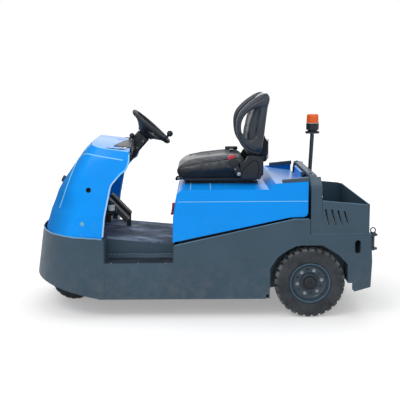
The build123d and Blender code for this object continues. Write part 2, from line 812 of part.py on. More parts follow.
def seat_hinge_cover():
    """Moulded cover of the seat back's side hinge."""
    line = [
        (190, 800),
        (184, 850),
        (186, 896),
        (214, 910),
        (232, 938),
        (258, 944),
        (292, 938),
        (318, 915),
        (324, 870),
        (322, 836),
        (309, 800),
    ]
    with BuildPart() as cover:
        add(plate_xz(line, -256, -228))
        fillet(cover.faces().sort_by(Axis.Y)[0].edges(), 5)
    return cover.part


side_pair("seat_hinge_cover", seat_hinge_cover)

with BuildPart() as document_pouch:
    pouch_line = [(300, 894), (350, 894), (358, 906), (364, 1016), (346, 1042), (300, 1042)]
    add(plate_xz(pouch_line, -140, 140))
    for piece in (seat_backrest, seat_frame):
        add(piece.part, mode=Mode.SUBTRACT)
save(document_pouch.part, "document_pouch")

with BuildPart() as belt_buckle:
    add(plate_xz([(122, 934), (152, 944), (186, 838), (170, 822), (154, 832)], -284, -256.1))
    block(150, 184, -257, -228, 822, 848)
    add(plate_xz([(174, 839), (198, 839), (198, 823), (174, 823)], -275, -256.2))
save(belt_buckle.part, "belt_buckle")

# Beacon on its pole behind the hoop
POLE_TILT = math.degrees(math.atan2(12, 252))
with BuildPart() as beacon_pole:
    with BuildSketch(Plane(origin=(639, 0, 760), z_dir=(math.sin(math.radians(POLE_TILT)), 0, math.cos(math.radians(POLE_TILT))))):
        Circle(12.5)
    extrude(amount=300)
    block(610, 640, -20, 20, 770, 800)
    with Locations((654, 0, 1061)):
        Cylinder(45, 8)
save(beacon_pole.part, "beacon_pole")

with BuildPart() as beacon_base:
    with Locations((654, 0, 1072)):
        Cylinder(30, 14)
    with Locations((654, 0, 1099)):
        Cylinder(40, 40)
save(beacon_base.part, "beacon_base")

with BuildPart() as beacon_lens:
    with Locations((654, 0, 1148.5)):
        Cylinder(37.5, 59)
    fillet(beacon_lens.edges().filter_by(GeomType.CIRCLE).sort_by(Axis.Z)[-1], 12)
save(beacon_lens.part, "beacon_lens")

# Tow jaw and pin
with BuildPart() as hitch_bracket:
    block(949.2, 962, -75, 75, 262, 430)
    for top in (JAW_TOP_Z, JAW_LOW_Z + JAW_PLATE):
        block(960, JAW_PIN_X, -30, 30, top - JAW_PLATE, top)
        with Locations((JAW_PIN_X, 0, top - JAW_PLATE / 2)):
            Cylinder(JAW_END_X - JAW_PIN_X, JAW_PLATE)
    add(plate_xz([(960, 270), (1030, 307), (960, 307)], -30, 30))
    with Locations((JAW_PIN_X, 0, 360)):
        Cylinder(PIN_R + 0.1, 300, mode=Mode.SUBTRACT)
save(hitch_bracket.part, "hitch_bracket")

with BuildPart() as tow_pin:
    with Locations((JAW_PIN_X, 0, 358)):
        Cylinder(PIN_R, 116)
    with Locations((JAW_PIN_X, 0, 413)):
        Cylinder(20, 7)
    with Locations(Location((JAW_PIN_X, 0, 432), (90, 0, 0))):
        Torus(16, 4)
save(tow_pin.part, "tow_pin")

# Front lamp and the stop handle on the hood
with BuildPart() as front_lamp:
    with Locations(Location(LAMP_AT, (0, -65, 0))):
        Cylinder(18, 40)
save(front_lamp.part, "front_lamp")

with BuildPart() as stop_handle:
    add(plate_xz([(-230, 600), (-215.4, 600), (-204.4, 670), (-221, 670)], -HOOD_HALF + 115, -HOOD_HALF + 155))
save(stop_handle.part, "stop_handle")
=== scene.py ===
"""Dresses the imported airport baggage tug: panels, wheels, seat, controls, lamp and stage."""

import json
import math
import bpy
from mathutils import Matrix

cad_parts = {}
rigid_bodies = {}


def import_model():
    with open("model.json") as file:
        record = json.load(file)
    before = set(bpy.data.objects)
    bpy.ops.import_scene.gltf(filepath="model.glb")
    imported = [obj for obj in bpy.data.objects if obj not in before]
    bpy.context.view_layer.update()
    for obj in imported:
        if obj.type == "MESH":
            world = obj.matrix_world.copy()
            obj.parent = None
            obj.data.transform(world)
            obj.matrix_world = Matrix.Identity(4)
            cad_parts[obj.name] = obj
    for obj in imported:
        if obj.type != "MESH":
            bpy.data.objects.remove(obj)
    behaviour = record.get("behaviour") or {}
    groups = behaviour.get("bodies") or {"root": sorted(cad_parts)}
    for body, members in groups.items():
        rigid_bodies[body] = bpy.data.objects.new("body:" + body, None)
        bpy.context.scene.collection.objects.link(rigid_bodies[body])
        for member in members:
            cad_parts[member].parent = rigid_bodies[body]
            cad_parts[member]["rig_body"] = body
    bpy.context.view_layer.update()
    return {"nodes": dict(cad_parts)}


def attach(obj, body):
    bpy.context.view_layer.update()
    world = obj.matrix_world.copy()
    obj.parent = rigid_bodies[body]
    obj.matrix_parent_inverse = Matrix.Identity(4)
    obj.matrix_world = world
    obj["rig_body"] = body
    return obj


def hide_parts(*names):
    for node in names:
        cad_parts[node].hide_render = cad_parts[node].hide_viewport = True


bl_info = {
    "name": "Baggage Tug Dressing",
    "version": (1, 0, 0),
    "blender": (4, 5, 0),
    "location": "View3D > Sidebar > Tug",
    "description": "Finishes, padded seat, tyres, trim and stage for a three-wheel baggage tug",
    "category": "Object",
}

import bmesh
import bpy
from mathutils import Matrix, Vector
from mathutils.bvhtree import BVHTree

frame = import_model()
NODES = frame["nodes"]
SIDES = (-1, 1)
NAMED_SIDES = ((-1, "left"), (1, "right"))


def colour_property(name, description, rgb):
    """A colour the user may change, given as it looks on screen."""
    return bpy.props.FloatVectorProperty(
        name=name,
        description=description,
        subtype="COLOR_GAMMA",
        size=3,
        min=0.0,
        max=1.0,
        default=tuple(value / 255 for value in rgb),
    )


def length_property(name, description, default):
    """A length the user may change, in metres."""
    return bpy.props.FloatProperty(
        name=name, description=description, default=default, min=0.0, unit="LENGTH"
    )


class TugColours(bpy.types.PropertyGroup):
    """Colours of the tug's finishes."""

    cowl_blue: colour_property("Cowl blue", "Gloss paint of cowl and battery hood", (3, 150, 249))
    crease_blue: colour_property("Crease blue", "Light that creases and edges catch", (135, 212, 255))
    rolled_pale: colour_property("Rolled edge", "Light on the cowl's rolled edge", (176, 216, 250))
    body_slate: colour_property("Body slate", "Satin paint of the lower body", (52, 75, 91))
    frame_black: colour_property("Frame black", "Satin paint of chassis and axle", (28, 32, 38))
    rim_slate: colour_property("Rim slate", "Painted steel of the wheels", (56, 72, 84))
    tyre_black: colour_property("Tyre black", "Tyre rubber", (35, 40, 46))
    tread_dust: colour_property("Tread dust", "Dust on the tyre treads", (122, 127, 130))
    vinyl_black: colour_property("Seat vinyl", "Seat cover", (25, 33, 42))
    plastic_black: colour_property("Black plastic", "Moulded plastic parts", (20, 27, 35))
    mat_grey: colour_property("Floor rubber", "Worn rubber of floor and steps", (114, 131, 150))
    signal_red: colour_property("Buckle red", "Belt buckle and stop handle", (198, 30, 60))
    lens_amber: colour_property("Beacon amber", "Lens of the beacon", (255, 108, 14))
    zinc: colour_property("Zinc", "Plated bolts", (158, 164, 170))


class TugSizes(bpy.types.PropertyGroup):
    """Sizes of the tug's trim."""

    edge_round: length_property("Panel edge", "Rounding of sheet metal edges", 0.0026)
    bead_radius: length_property("Edge bead", "Radius of the rolled edge of the cowl", 0.005)
    crease_radius: length_property("Crease", "Radius of pressed crease lines", 0.0036)
    lug_height: length_property("Tread depth", "Depth of the tread grooves", 0.012)
    seam_depth: length_property("Seam depth", "How far a sewn seam pulls in", 0.0045)
    piping_radius: length_property("Piping", "Radius of the seat's piping", 0.0026)
    mat_rib: length_property("Mat rib", "Height of the ribs in the floor rubber", 0.0018)


def colours():
    return bpy.context.scene.tug_colours


def sizes():
    return bpy.context.scene.tug_sizes


def linear(rgb, factor=1.0):
    """Screen colour to the linear values that a shader takes."""
    values = []
    for value in rgb:
        value = value * factor
        low = value / 12.92
        high = ((value + 0.055) / 1.055) ** 2.4
        values.append(low if value <= 0.04045 else high)
    return (*values, 1.0)


# Node helpers


def node(tree, kind, **values):
    """Add a node and set its plain attributes."""
    made = tree.nodes.new(kind)
    for key, value in values.items():
        setattr(made, key, value)
    return made


def object_point(tree, offset=(0, 0, 0), scale=(1, 1, 1)):
    """Object coordinates, moved and stretched."""
    source = node(tree, "ShaderNodeTexCoord")
    mapping = node(tree, "ShaderNodeMapping")
    mapping.inputs["Location"].default_value = offset
    mapping.inputs["Scale"].default_value = scale
    tree.links.new(source.outputs["Object"], mapping.inputs["Vector"])
    return mapping.outputs["Vector"]


def noise(tree, vector, scale, detail=3.0, rough=0.55):
    made = node(tree, "ShaderNodeTexNoise")
    made.inputs["Scale"].default_value = scale
    made.inputs["Detail"].default_value = detail
    made.inputs["Roughness"].default_value = rough
    tree.links.new(vector, made.inputs["Vector"])
    return made.outputs["Fac"]


def cells(tree, vector, scale, feature="F1"):
    made = node(tree, "ShaderNodeTexVoronoi", feature=feature)
    made.inputs["Scale"].default_value = scale
    tree.links.new(vector, made.inputs["Vector"])
    return made.outputs["Distance"]


def spread(tree, value, low, high, to_low=0.0, to_high=1.0):
    """Map a value from one range to another, clamped."""
    made = node(tree, "ShaderNodeMapRange")
    made.inputs["From Min"].default_value = low
    made.inputs["From Max"].default_value = high
    made.inputs["To Min"].default_value = to_low
    made.inputs["To Max"].default_value = to_high
    tree.links.new(value, made.inputs["Value"])
    return made.outputs["Result"]


def work(tree, operation, first, second=None):
    """One math node on values or numbers."""
    made = node(tree, "ShaderNodeMath", operation=operation)
    for number, value in enumerate((first, second)):
        if value is None:
            continue
        if isinstance(value, (int, float)):
            made.inputs[number].default_value = value
        else:
            tree.links.new(value, made.inputs[number])
    return made.outputs["Value"]


def blend_colours(tree, amount, first, second):
    """Mix two colours, each a fixed colour or a socket."""
    made = node(tree, "ShaderNodeMix", data_type="RGBA")
    tree.links.new(amount, made.inputs["Factor"])
    for socket, value in ((made.inputs[6], first), (made.inputs[7], second)):
        if isinstance(value, tuple):
            socket.default_value = value
        else:
            tree.links.new(value, socket)
    return made.outputs[2]


def bump(tree, height, strength, distance, under=None):
    made = node(tree, "ShaderNodeBump")
    made.inputs["Strength"].default_value = strength
    made.inputs["Distance"].default_value = distance
    tree.links.new(height, made.inputs["Height"])
    if under is not None:
        tree.links.new(under, made.inputs["Normal"])
    return made.outputs["Normal"]


def facing(tree, axis):
    """How far a surface of a piece at rest faces along an axis."""
    source = node(tree, "ShaderNodeTexCoord")
    parts = node(tree, "ShaderNodeSeparateXYZ")
    tree.links.new(source.outputs["Normal"], parts.inputs["Vector"])
    return parts.outputs[axis]


def fade(tree, axis, low, high):
    """One up to the low place on an axis, falling to none at the high one."""
    split = node(tree, "ShaderNodeSeparateXYZ")
    tree.links.new(object_point(tree), split.inputs["Vector"])
    return spread(tree, split.outputs[axis], low, high, 1.0, 0.0)


def product(tree, first, second):
    return work(tree, "MULTIPLY", first, second)


def new_finish(name, **fixed):
    """A material with its shader's own fixed values."""
    material = bpy.data.materials.new(name)
    material.use_nodes = True
    tree = material.node_tree
    shader = tree.nodes["Principled BSDF"]
    for key, value in fixed.items():
        shader.inputs[key.replace("_", " ")].default_value = value
    return material, tree, shader


def feed(tree, shader, colour, rough, normal=None):
    """Link a shader's colour, roughness and bumps."""
    for name, socket in (("Base Color", colour), ("Roughness", rough), ("Normal", normal)):
        if socket is not None:
            tree.links.new(socket, shader.inputs[name])


def tinted(tone, *shares):
    """A colour with one share for all its channels or one for each."""
    if len(shares) == 1:
        shares = shares * 3
    return tuple(share * value for share, value in zip(shares, tone))


FINISHES = {}


def finish(name):
    """The finished material of that name, made once."""
    if name not in FINISHES:
        FINISHES[name] = FINISH_MAKERS[name]()
    return FINISHES[name]


COWL_DUST = (0.30, 0.32, 0.33, 1.0)
# Pale tint of the painted sky reflection on the tops of the cowl and hood
SKY_SHEEN_TINT = (0.68, 0.69, 0.74, 1.0)
ROAD_DUST = (0.22, 0.21, 0.20, 1.0)
FLOOR_GRIT = (0.21, 0.21, 0.20, 1.0)


def gloss_coat(name, tone):
    """Gloss coat with faint orange peel, dust low down, a painted sky reflection on its tops and painted
    shade on its nose, which also has less coat.
    """
    material, tree, shader = new_finish(
        name, Coat_Roughness=0.2, Coat_IOR=1.27, Specular_IOR_Level=0.0
    )
    point = object_point(tree)
    broad = spread(tree, noise(tree, point, 3.0), 0.35, 0.7)
    colour = blend_colours(tree, broad, linear(tone), linear(tone, 0.97))
    specks = spread(tree, noise(tree, point, 26.0, 6.0), 0.5, 0.75)
    dust = product(tree, product(tree, fade(tree, "Z", 0.44, 0.62), specks), 0.14)
    colour = blend_colours(tree, dust, colour, COWL_DUST)
    # Painted reflection: faces above 0.772 m that look up are blended towards a pale tint, as if they
    # mirrored a bright sky.
    painted_sheen = product(tree, spread(tree, facing(tree, "Z"), 0.90, 0.97), fade(tree, "Z", 0.772, 0.768))
    colour = blend_colours(tree, product(tree, painted_sheen, 0.26), colour, SKY_SHEEN_TINT)
    # Painted shade: forward-facing faces of the nose, ahead of x -0.55, are darkened and given less coat.
    nose = product(tree, spread(tree, facing(tree, "X"), -0.35, -0.85), fade(tree, "X", -0.70, -0.55))
    colour = blend_colours(tree, nose, colour, linear(tone, 0.80))
    tree.links.new(spread(tree, nose, 0.0, 1.0, 0.78, 0.12), shader.inputs["Coat Weight"])
    rough = spread(tree, noise(tree, point, 9.0, 5.0), 0.3, 0.75, 0.30, 0.42)
    feed(tree, shader, colour, rough, bump(tree, noise(tree, point, 240.0, 1.0), 0.05, 0.0006))
    return material


def gloss_blue():
    return gloss_coat("gloss_blue", colours().cowl_blue)


# Painted highlight: crease beads, top ridges, the rear lip bead and the hood ribs take this lighter blue
# for the light their edges catch.
def edge_blue():
    return gloss_coat("edge_blue", colours().crease_blue)


# Painted highlight: the cowl's rolled rear edge takes this pale blue for the light it catches.
def rolled_highlight():
    return gloss_coat("rolled_highlight", colours().rolled_pale)


def satin_paint(name, tone, rough_low, rough_high, dusty):
    """Satin coat with fine texture, faint scuffs and road dust low down."""
    material, tree, shader = new_finish(name, Specular_IOR_Level=0.4)
    point = object_point(tree)
    broad = spread(tree, noise(tree, point, 4.0), 0.3, 0.75)
    colour = blend_colours(tree, broad, linear(tone, 0.95), linear(tone, 1.05))
    streak = noise(tree, object_point(tree, scale=(3.0, 3.0, 60.0)), 6.0, 7.0, 0.7)
    scuff = product(tree, spread(tree, streak, 0.64, 0.8), 0.25)
    colour = blend_colours(tree, scuff, colour, linear(tone, 1.5))
    specks = spread(tree, noise(tree, point, 18.0, 8.0, 0.65), 0.42, 0.72)
    dust = product(tree, product(tree, fade(tree, "Z", 0.10, 0.42), specks), dusty)
    colour = blend_colours(tree, dust, colour, ROAD_DUST)
    rough = spread(tree, noise(tree, point, 14.0, 6.0), 0.3, 0.75, rough_low, rough_high)
    feed(tree, shader, colour, rough, bump(tree, noise(tree, point, 620.0, 2.0), 0.16, 0.0005))
    return material


def slate_paint():
    return satin_paint("slate_paint", colours().body_slate, 0.38, 0.52, 0.25)


# Painted highlight: a lighter slate for the light caught by the bin's seams and rims, the skirt edges and
# the wheel rims' lips.
def slate_highlight():
    return satin_paint("slate_highlight", tinted(colours().body_slate, 1.3), 0.35, 0.45, 0.1)


def weld_grey():
    return satin_paint("weld_grey", tinted(colours().body_slate, 2.0, 1.65, 1.5), 0.3, 0.4, 0.1)


# Painted highlight: a pale slate for the light caught along the bumper's top edge under the cowl and along
# the skirts' top edges.
def belt_highlight():
    return satin_paint("belt_highlight", tinted(colours().body_slate, 2.1), 0.3, 0.4, 0.1)


def chassis_paint():
    return satin_paint("chassis_paint", colours().frame_black, 0.42, 0.6, 0.55)


def wheel_paint():
    return satin_paint("wheel_paint", colours().rim_slate, 0.3, 0.45, 0.18)


def pole_paint():
    return satin_paint("pole_paint", tinted(colours().body_slate, 0.62), 0.3, 0.42, 0.0)


def battery_steel():
    return satin_paint("battery_steel", tinted(colours().frame_black, 1.1), 0.4, 0.55, 0.3)


# Wheels as axle length, axle height, which is the tyre's radius, and tyre width
REAR_X, REAR_RADIUS, REAR_WIDTH = 0.59, 0.2075, 0.112
FRONT_X, FRONT_RADIUS, FRONT_WIDTH = -0.867, 0.148, 0.11


def tyre_rubber(name, axle_x, radius):
    """Tyre rubber with moulded rings round the axle and dusty treads."""
    material, tree, shader = new_finish(name, Specular_IOR_Level=0.3, Sheen_Weight=0.12)
    point = object_point(tree)
    centred = object_point(tree, offset=(-axle_x, 0, -radius), scale=(1, 0, 1))
    length = node(tree, "ShaderNodeVectorMath", operation="LENGTH")
    tree.links.new(centred, length.inputs[0])
    reach = length.outputs["Value"]
    tread = spread(tree, reach, radius * 0.91, radius * 0.99)
    patches = spread(tree, noise(tree, point, 16.0, 8.0, 0.65), 0.32, 0.62)
    dust = product(tree, work(tree, "ADD", product(tree, tread, 0.72), 0.16), patches)
    tone = colours().tyre_black
    black = blend_colours(tree, patches, linear(tone, 0.86), linear(tone, 1.1))
    colour = blend_colours(tree, dust, black, linear(colours().tread_dust))
    rings = work(tree, "SINE", product(tree, reach, 1900.0))
    side = work(tree, "SUBTRACT", 1.0, tread)
    ringed = bump(tree, product(tree, rings, side), 0.14, 0.0004)
    grain = bump(tree, noise(tree, point, 420.0, 3.0), 0.3, 0.0006, ringed)
    feed(tree, shader, colour, spread(tree, patches, 0.0, 1.0, 0.55, 0.78), grain)
    return material


def rear_rubber():
    return tyre_rubber("rear_rubber", REAR_X, REAR_RADIUS)


def front_rubber():
    return tyre_rubber("front_rubber", FRONT_X, FRONT_RADIUS)


def patchy(name, patches, dull, clean, rough, grain=None, **fixed):
    """A plain finish whose tone and gloss change in patches, over a fine grain.

    patches holds the size, the detail and the two limits of the noise, and
    grain a pattern's function with its own values, and the bump's two.
    """
    material, tree, shader = new_finish(name, **fixed)
    point = object_point(tree)
    scale, detail, low, high = patches
    worn = spread(tree, noise(tree, point, scale, detail), low, high)
    colour = blend_colours(tree, worn, dull, clean)
    normal = None
    if grain:
        pattern, values, strength, distance = grain
        normal = bump(tree, pattern(tree, point, *values), strength, distance)
    feed(tree, shader, colour, spread(tree, worn, 0.0, 1.0, *rough), normal)
    return material


def moulded_plastic():
    """Black moulded plastic with a fine spark-eroded grain."""
    tone = colours().plastic_black
    return patchy(
        "moulded_plastic",
        (12.0, 5.0, 0.35, 0.7),
        linear(tone, 0.88),
        linear(tone, 1.22),
        (0.36, 0.5),
        (cells, (700.0,), 0.22, 0.0004),
        Specular_IOR_Level=0.42,
    )


def soft_grip():
    """Matt black rubber on wheel rim, pedals and knobs."""
    tone = colours().plastic_black
    return patchy(
        "soft_grip",
        (30.0, 6.0, 0.45, 0.75),
        linear(tone, 0.95),
        linear(tone, 1.45),
        (0.6, 0.42),
        (noise, (800.0, 2.0), 0.25, 0.0004),
        Specular_IOR_Level=0.35,
    )


def ribbed_rubber(name, tone):
    """Ribbed floor rubber, scuffed grey where feet land."""
    material, tree, shader = new_finish(name, Specular_IOR_Level=0.35)
    point = object_point(tree)
    trod = noise(tree, object_point(tree, scale=(4.0, 9.0, 1.0)), 1.4, 7.0, 0.62)
    worn = spread(tree, trod, 0.44, 0.64)
    colour = blend_colours(tree, worn, linear(tone, 0.72), linear(tone, 1.25))
    grit = spread(tree, noise(tree, point, 160.0, 5.0), 0.58, 0.72, 0.0, 0.35)
    colour = blend_colours(tree, grit, colour, FLOOR_GRIT)
    rough = spread(tree, worn, 0.0, 1.0, 0.62, 0.4)
    feed(tree, shader, colour, rough, bump(tree, noise(tree, point, 380.0, 4.0), 0.35, 0.0006))
    return material


def floor_rubber():
    return ribbed_rubber("floor_rubber", colours().mat_grey)


def step_rubber():
    return ribbed_rubber("step_rubber", tinted(colours().mat_grey, 0.29, 0.35, 0.39))


def seat_vinyl():
    """Black seat vinyl with a pebbled leather grain, lighter high up as a painted highlight, a warmer grey
    low down that offsets the hood's blue reflection, and duller low down.
    """
    material, tree, shader = new_finish("seat_vinyl", Sheen_Weight=0.16, Sheen_Roughness=0.4)
    point = object_point(tree)
    grimy = product(tree, fade(tree, "Z", 0.835, 0.872), 0.42)
    tree.links.new(work(tree, "SUBTRACT", 0.54, grimy), shader.inputs["Specular IOR Level"])
    tone = colours().vinyl_black
    worn = spread(tree, noise(tree, point, 7.0, 6.0, 0.6), 0.4, 0.72)
    # Painted light: above 0.94 m the vinyl is lighter, a painted highlight where light falls on the back
    # and wings; below 0.88 m it is a warmer grey that offsets the blue the hood reflects.
    grey = tinted(tone, 1.35, 1.12, 0.92)
    low = blend_colours(tree, worn, linear(grey, 0.9), linear(grey, 1.3))
    high = blend_colours(tree, worn, linear(tone, 1.15), linear(tone, 1.6))
    colour = blend_colours(tree, fade(tree, "Z", 0.88, 0.94), high, low)
    pebble = bump(tree, cells(tree, point, 520.0, "SMOOTH_F1"), 0.3, 0.0007)
    fold = bump(tree, noise(tree, point, 55.0, 3.0), 0.18, 0.0012, pebble)
    feed(tree, shader, colour, spread(tree, worn, 0.0, 1.0, 0.31, 0.43), fold)
    return material


def pouch_cloth():
    """Coarse black pack cloth."""
    material, tree, shader = new_finish("pouch_cloth", Specular_IOR_Level=0.25, Sheen_Weight=0.3)
    tone = colours().vinyl_black
    weave = node(tree, "ShaderNodeTexChecker")
    weave.inputs["Scale"].default_value = 900.0
    tree.links.new(object_point(tree), weave.inputs["Vector"])
    broad = spread(tree, noise(tree, object_point(tree), 14.0, 5.0), 0.35, 0.7)
    colour = blend_colours(tree, broad, linear(tone, 0.9), linear(tone, 1.3))
    rough = spread(tree, broad, 0.0, 1.0, 0.7, 0.85)
    feed(tree, shader, colour, rough, bump(tree, weave.outputs["Fac"], 0.35, 0.0005))
    return material


def belt_web():
    """Woven belt webbing, ribbed across its width."""
    material, tree, shader = new_finish("belt_web", Specular_IOR_Level=0.3, Sheen_Weight=0.35)
    tone = colours().vinyl_black
    ribs = node(tree, "ShaderNodeTexWave", wave_type="BANDS", bands_direction="DIAGONAL")
    ribs.inputs["Scale"].default_value = 260.0
    ribs.inputs["Distortion"].default_value = 0.4
    tree.links.new(object_point(tree), ribs.inputs["Vector"])
    height = ribs.outputs["Fac"]
    colour = blend_colours(tree, height, linear(tone, 0.75), linear(tone, 1.25))
    feed(tree, shader, colour, spread(tree, height, 0.0, 1.0, 0.55, 0.75), bump(tree, height, 0.4, 0.0005))
    return material


def red_plastic():
    """Glossy red plastic, a little faded and scratched."""
    tone = colours().signal_red
    return patchy(
        "red_plastic",
        (40.0, 5.0, 0.4, 0.7),
        linear(tone, 0.92),
        linear(tone, 1.08),
        (0.24, 0.42),
        (noise, (500.0,), 0.1, 0.0003),
        Specular_IOR_Level=0.5,
    )


def handle_red():
    """Dark red moulded handle."""
    tone = tinted(colours().signal_red, 0.72)
    return patchy(
        "handle_red",
        (30.0, 5.0, 0.4, 0.7),
        linear(tone, 0.85),
        linear(tone, 1.1),
        (0.34, 0.5),
        (cells, (600.0,), 0.2, 0.0003),
        Specular_IOR_Level=0.45,
    )


def amber_glass():
    """Clear amber plastic of the beacon lens."""
    tone = colours().lens_amber
    return patchy(
        "amber_glass",
        (60.0, 4.0, 0.35, 0.7),
        linear(tone, 0.94),
        linear(tone),
        (0.14, 0.26),
        (noise, (300.0,), 0.12, 0.0005),
        Transmission_Weight=0.3,
        IOR=1.49,
        Specular_IOR_Level=0.5,
    )


def clear_plastic():
    """Slightly cloudy clear plastic."""
    return patchy(
        "clear_plastic",
        (80.0, 4.0, 0.35, 0.7),
        (0.62, 0.64, 0.63, 1.0),
        (0.82, 0.84, 0.83, 1.0),
        (0.18, 0.34),
        Transmission_Weight=0.6,
        IOR=1.49,
    )


def plated_steel(name, tone):
    """Zinc plated steel with a mottled surface."""
    material, tree, shader = new_finish(name, Metallic=0.9)
    point = object_point(tree)
    mottle = spread(tree, cells(tree, point, 160.0), 0.1, 0.7)
    colour = blend_colours(tree, mottle, linear(tone, 0.88), linear(tone, 1.12))
    rough = spread(tree, noise(tree, point, 90.0, 5.0), 0.3, 0.7, 0.24, 0.42)
    feed(tree, shader, colour, rough, bump(tree, noise(tree, point, 700.0), 0.12, 0.0003))
    return material


def zinc_steel():
    return plated_steel("zinc_steel", colours().zinc)


def dark_steel():
    return plated_steel("dark_steel", tinted(colours().zinc, 0.5))


def shade_black():
    """Black standing for the shade inside openings, slits, grooves and seams: painted shade."""
    return patchy(
        "shade_black",
        (90.0, 4.0, 0.4, 0.7),
        (0.003, 0.004, 0.006, 1.0),
        (0.010, 0.011, 0.014, 1.0),
        (0.75, 0.9),
        Specular_IOR_Level=0.1,
    )


def aged_plastic(name, dull, clean):
    """Milky plastic, aged in patches."""
    return patchy(
        name,
        (45.0, 5.0, 0.35, 0.7),
        dull,
        clean,
        (0.3, 0.45),
        (noise, (500.0,), 0.1, 0.0003),
        Specular_IOR_Level=0.45,
    )


def pale_plastic():
    return aged_plastic("pale_plastic", (0.60, 0.60, 0.52, 1.0), (0.76, 0.77, 0.70, 1.0))


def plug_plastic():
    return aged_plastic("plug_plastic", (0.12, 0.40, 0.52, 1.0), (0.20, 0.52, 0.62, 1.0))


FINISH_MAKERS = {
    maker.__name__: maker
    for maker in (
        gloss_blue,
        edge_blue,
        rolled_highlight,
        slate_paint,
        slate_highlight,
        belt_highlight,
        weld_grey,
        chassis_paint,
        wheel_paint,
        pole_paint,
        battery_steel,
        rear_rubber,
        front_rubber,
        moulded_plastic,
        soft_grip,
        floor_rubber,
        step_rubber,
        seat_vinyl,
        pouch_cloth,
        belt_web,
        red_plastic,
        handle_red,
        amber_glass,
        clear_plastic,
        zinc_steel,
        dark_steel,
        shade_black,
        pale_plastic,
        plug_plastic,
    )
}


# Mesh helpers

CAD_MERGE = 2e-5
PANEL_SMOOTH = 32.0


def mesh_of(bm, name):
    """A bmesh made a mesh, and freed."""
    mesh = bpy.data.meshes.new(name)
    bm.to_mesh(mesh)
    bm.free()
    return mesh


def linked(name, data):
    """A new object in the scene."""
    made = bpy.data.objects.new(name, data)
    bpy.context.scene.collection.objects.link(made)
    return made


def evaluated(holder):
    """An object's mesh after its modifiers; the object itself goes."""
    mesh = bpy.data.meshes.new_from_object(
        holder.evaluated_get(bpy.context.evaluated_depsgraph_get())
    )
    bpy.data.objects.remove(holder)
    return mesh


def merged(name):
    """A bmesh of one CAD node with its doubled corners merged."""
    bm = bmesh.new()
    bm.from_mesh(NODES[name].data)
    bmesh.ops.remove_doubles(bm, verts=bm.verts, dist=CAD_MERGE)
    return bm


def place(bm, name, material, body, slot, smooth=35.0, edge=0.0, weld=1e-6):
    """Turn a bmesh into a piece that rides on a body."""
    if weld:
        bmesh.ops.remove_doubles(bm, verts=bm.verts, dist=weld)
    bmesh.ops.recalc_face_normals(bm, faces=bm.faces)
    return set_up(mesh_of(bm, name), name, material, body, smooth, edge)


def set_up(mesh, name, material, body, smooth, edge):
    """Shade a mesh, give it its finish and soft edges, and put it on a body."""
    for spare in ("custom_normal", "sharp_face"):
        if spare in mesh.attributes:
            mesh.attributes.remove(mesh.attributes[spare])
    mesh.materials.clear()
    mesh.materials.append(finish(material))
    mesh.shade_smooth()
    mesh.set_sharp_from_angle(angle=math.radians(smooth))
    piece = linked(name, mesh)
    if edge > 0:
        rounding = piece.modifiers.new("soft edges", "BEVEL")
        rounding.width = edge
        rounding.segments = 2
        rounding.limit_method = "ANGLE"
        rounding.angle_limit = math.radians(35)
        rounding.harden_normals = True
    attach(piece, body)
    return piece


def stand_for(piece, name):
    """Even out a panel's shading and let it replace its CAD node."""
    even = piece.modifiers.new("even shading", "WEIGHTED_NORMAL")
    even.keep_sharp = True
    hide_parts(name)


def shell_of(name, material, edge):
    """A merged copy of one CAD node with soft edges, which stands for it."""
    bm = merged(name)
    bmesh.ops.dissolve_limit(
        bm, angle_limit=math.radians(0.3), verts=bm.verts, edges=bm.edges, delimit={"NORMAL"}
    )
    mesh = mesh_of(bm, name + "_shell")
    body = NODES[name]["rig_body"]
    stand_for(set_up(mesh, name + "_shell", material, body, PANEL_SMOOTH, edge), name)


def recoat(name, material):
    """Give a CAD node, whose shape is right, its finish."""
    for held in NODES[name].material_slots:
        held.material = finish(material)


def brick(bm, centre, size, turn=Matrix.Identity(4)):
    """A box about its centre, turned if asked."""
    matrix = Matrix.Translation(centre) @ turn @ Matrix.Diagonal((*size, 1.0))
    bmesh.ops.create_cube(bm, size=1.0, matrix=matrix)


def block(bm, low, high):
    """A box between two corners."""
    low, high = Vector(low), Vector(high)
    brick(bm, (low + high) / 2, high - low)


def turned(direction):
    """A matrix whose Z axis points along a direction."""
    return Vector(direction).to_track_quat("Z", "Y").to_matrix().to_4x4()


def axes(first, second, third):
    """A turn whose axes are three directions."""
    return Matrix((first, second, third)).transposed().to_4x4()


def rod(bm, start, end, radius, end_radius=None, segments=24):
    """A round bar or cone between two points."""
    start, end = Vector(start), Vector(end)
    bmesh.ops.create_cone(
        bm,
        cap_ends=True,
        segments=segments,
        radius1=radius,
        radius2=radius if end_radius is None else end_radius,
        depth=(end - start).length,
        matrix=Matrix.Translation((start + end) / 2) @ turned(end - start),
    )


def ball(bm, centre, radius, stretch=(1, 1, 1), around=20, rings=12):
    """A ball, stretched if asked."""
    matrix = Matrix.Translation(centre) @ Matrix.Diagonal((*stretch, 1.0))
    bmesh.ops.create_uvsphere(bm, u_segments=around, v_segments=rings, radius=radius, matrix=matrix)


def lathe(bm, profile, centre, axis, steps=64):
    """Spin a closed profile of (along, out) points about an axis through centre."""
    axis = Vector(axis).normalized()
    centre = Vector(centre)
    out = axis.orthogonal().normalized()
    verts = [bm.verts.new(centre + axis * along + out * reach) for along, reach in profile]
    edges = [bm.edges.new(ends) for ends in zip(verts, verts[1:] + verts[:1])]
    bmesh.ops.spin(
        bm,
        geom=verts + edges,
        cent=centre,
        axis=axis,
        dvec=(0, 0, 0),
        angle=math.tau,
        steps=steps,
        use_merge=True,
    )
    bmesh.ops.remove_doubles(bm, verts=bm.verts, dist=1e-6)


def turned_piece(profile, centre, axis, steps, *naming):
    """A lathe-turned piece of its own."""
    bm = bmesh.new()
    lathe(bm, profile, centre, axis, steps)
    place(bm, *naming)


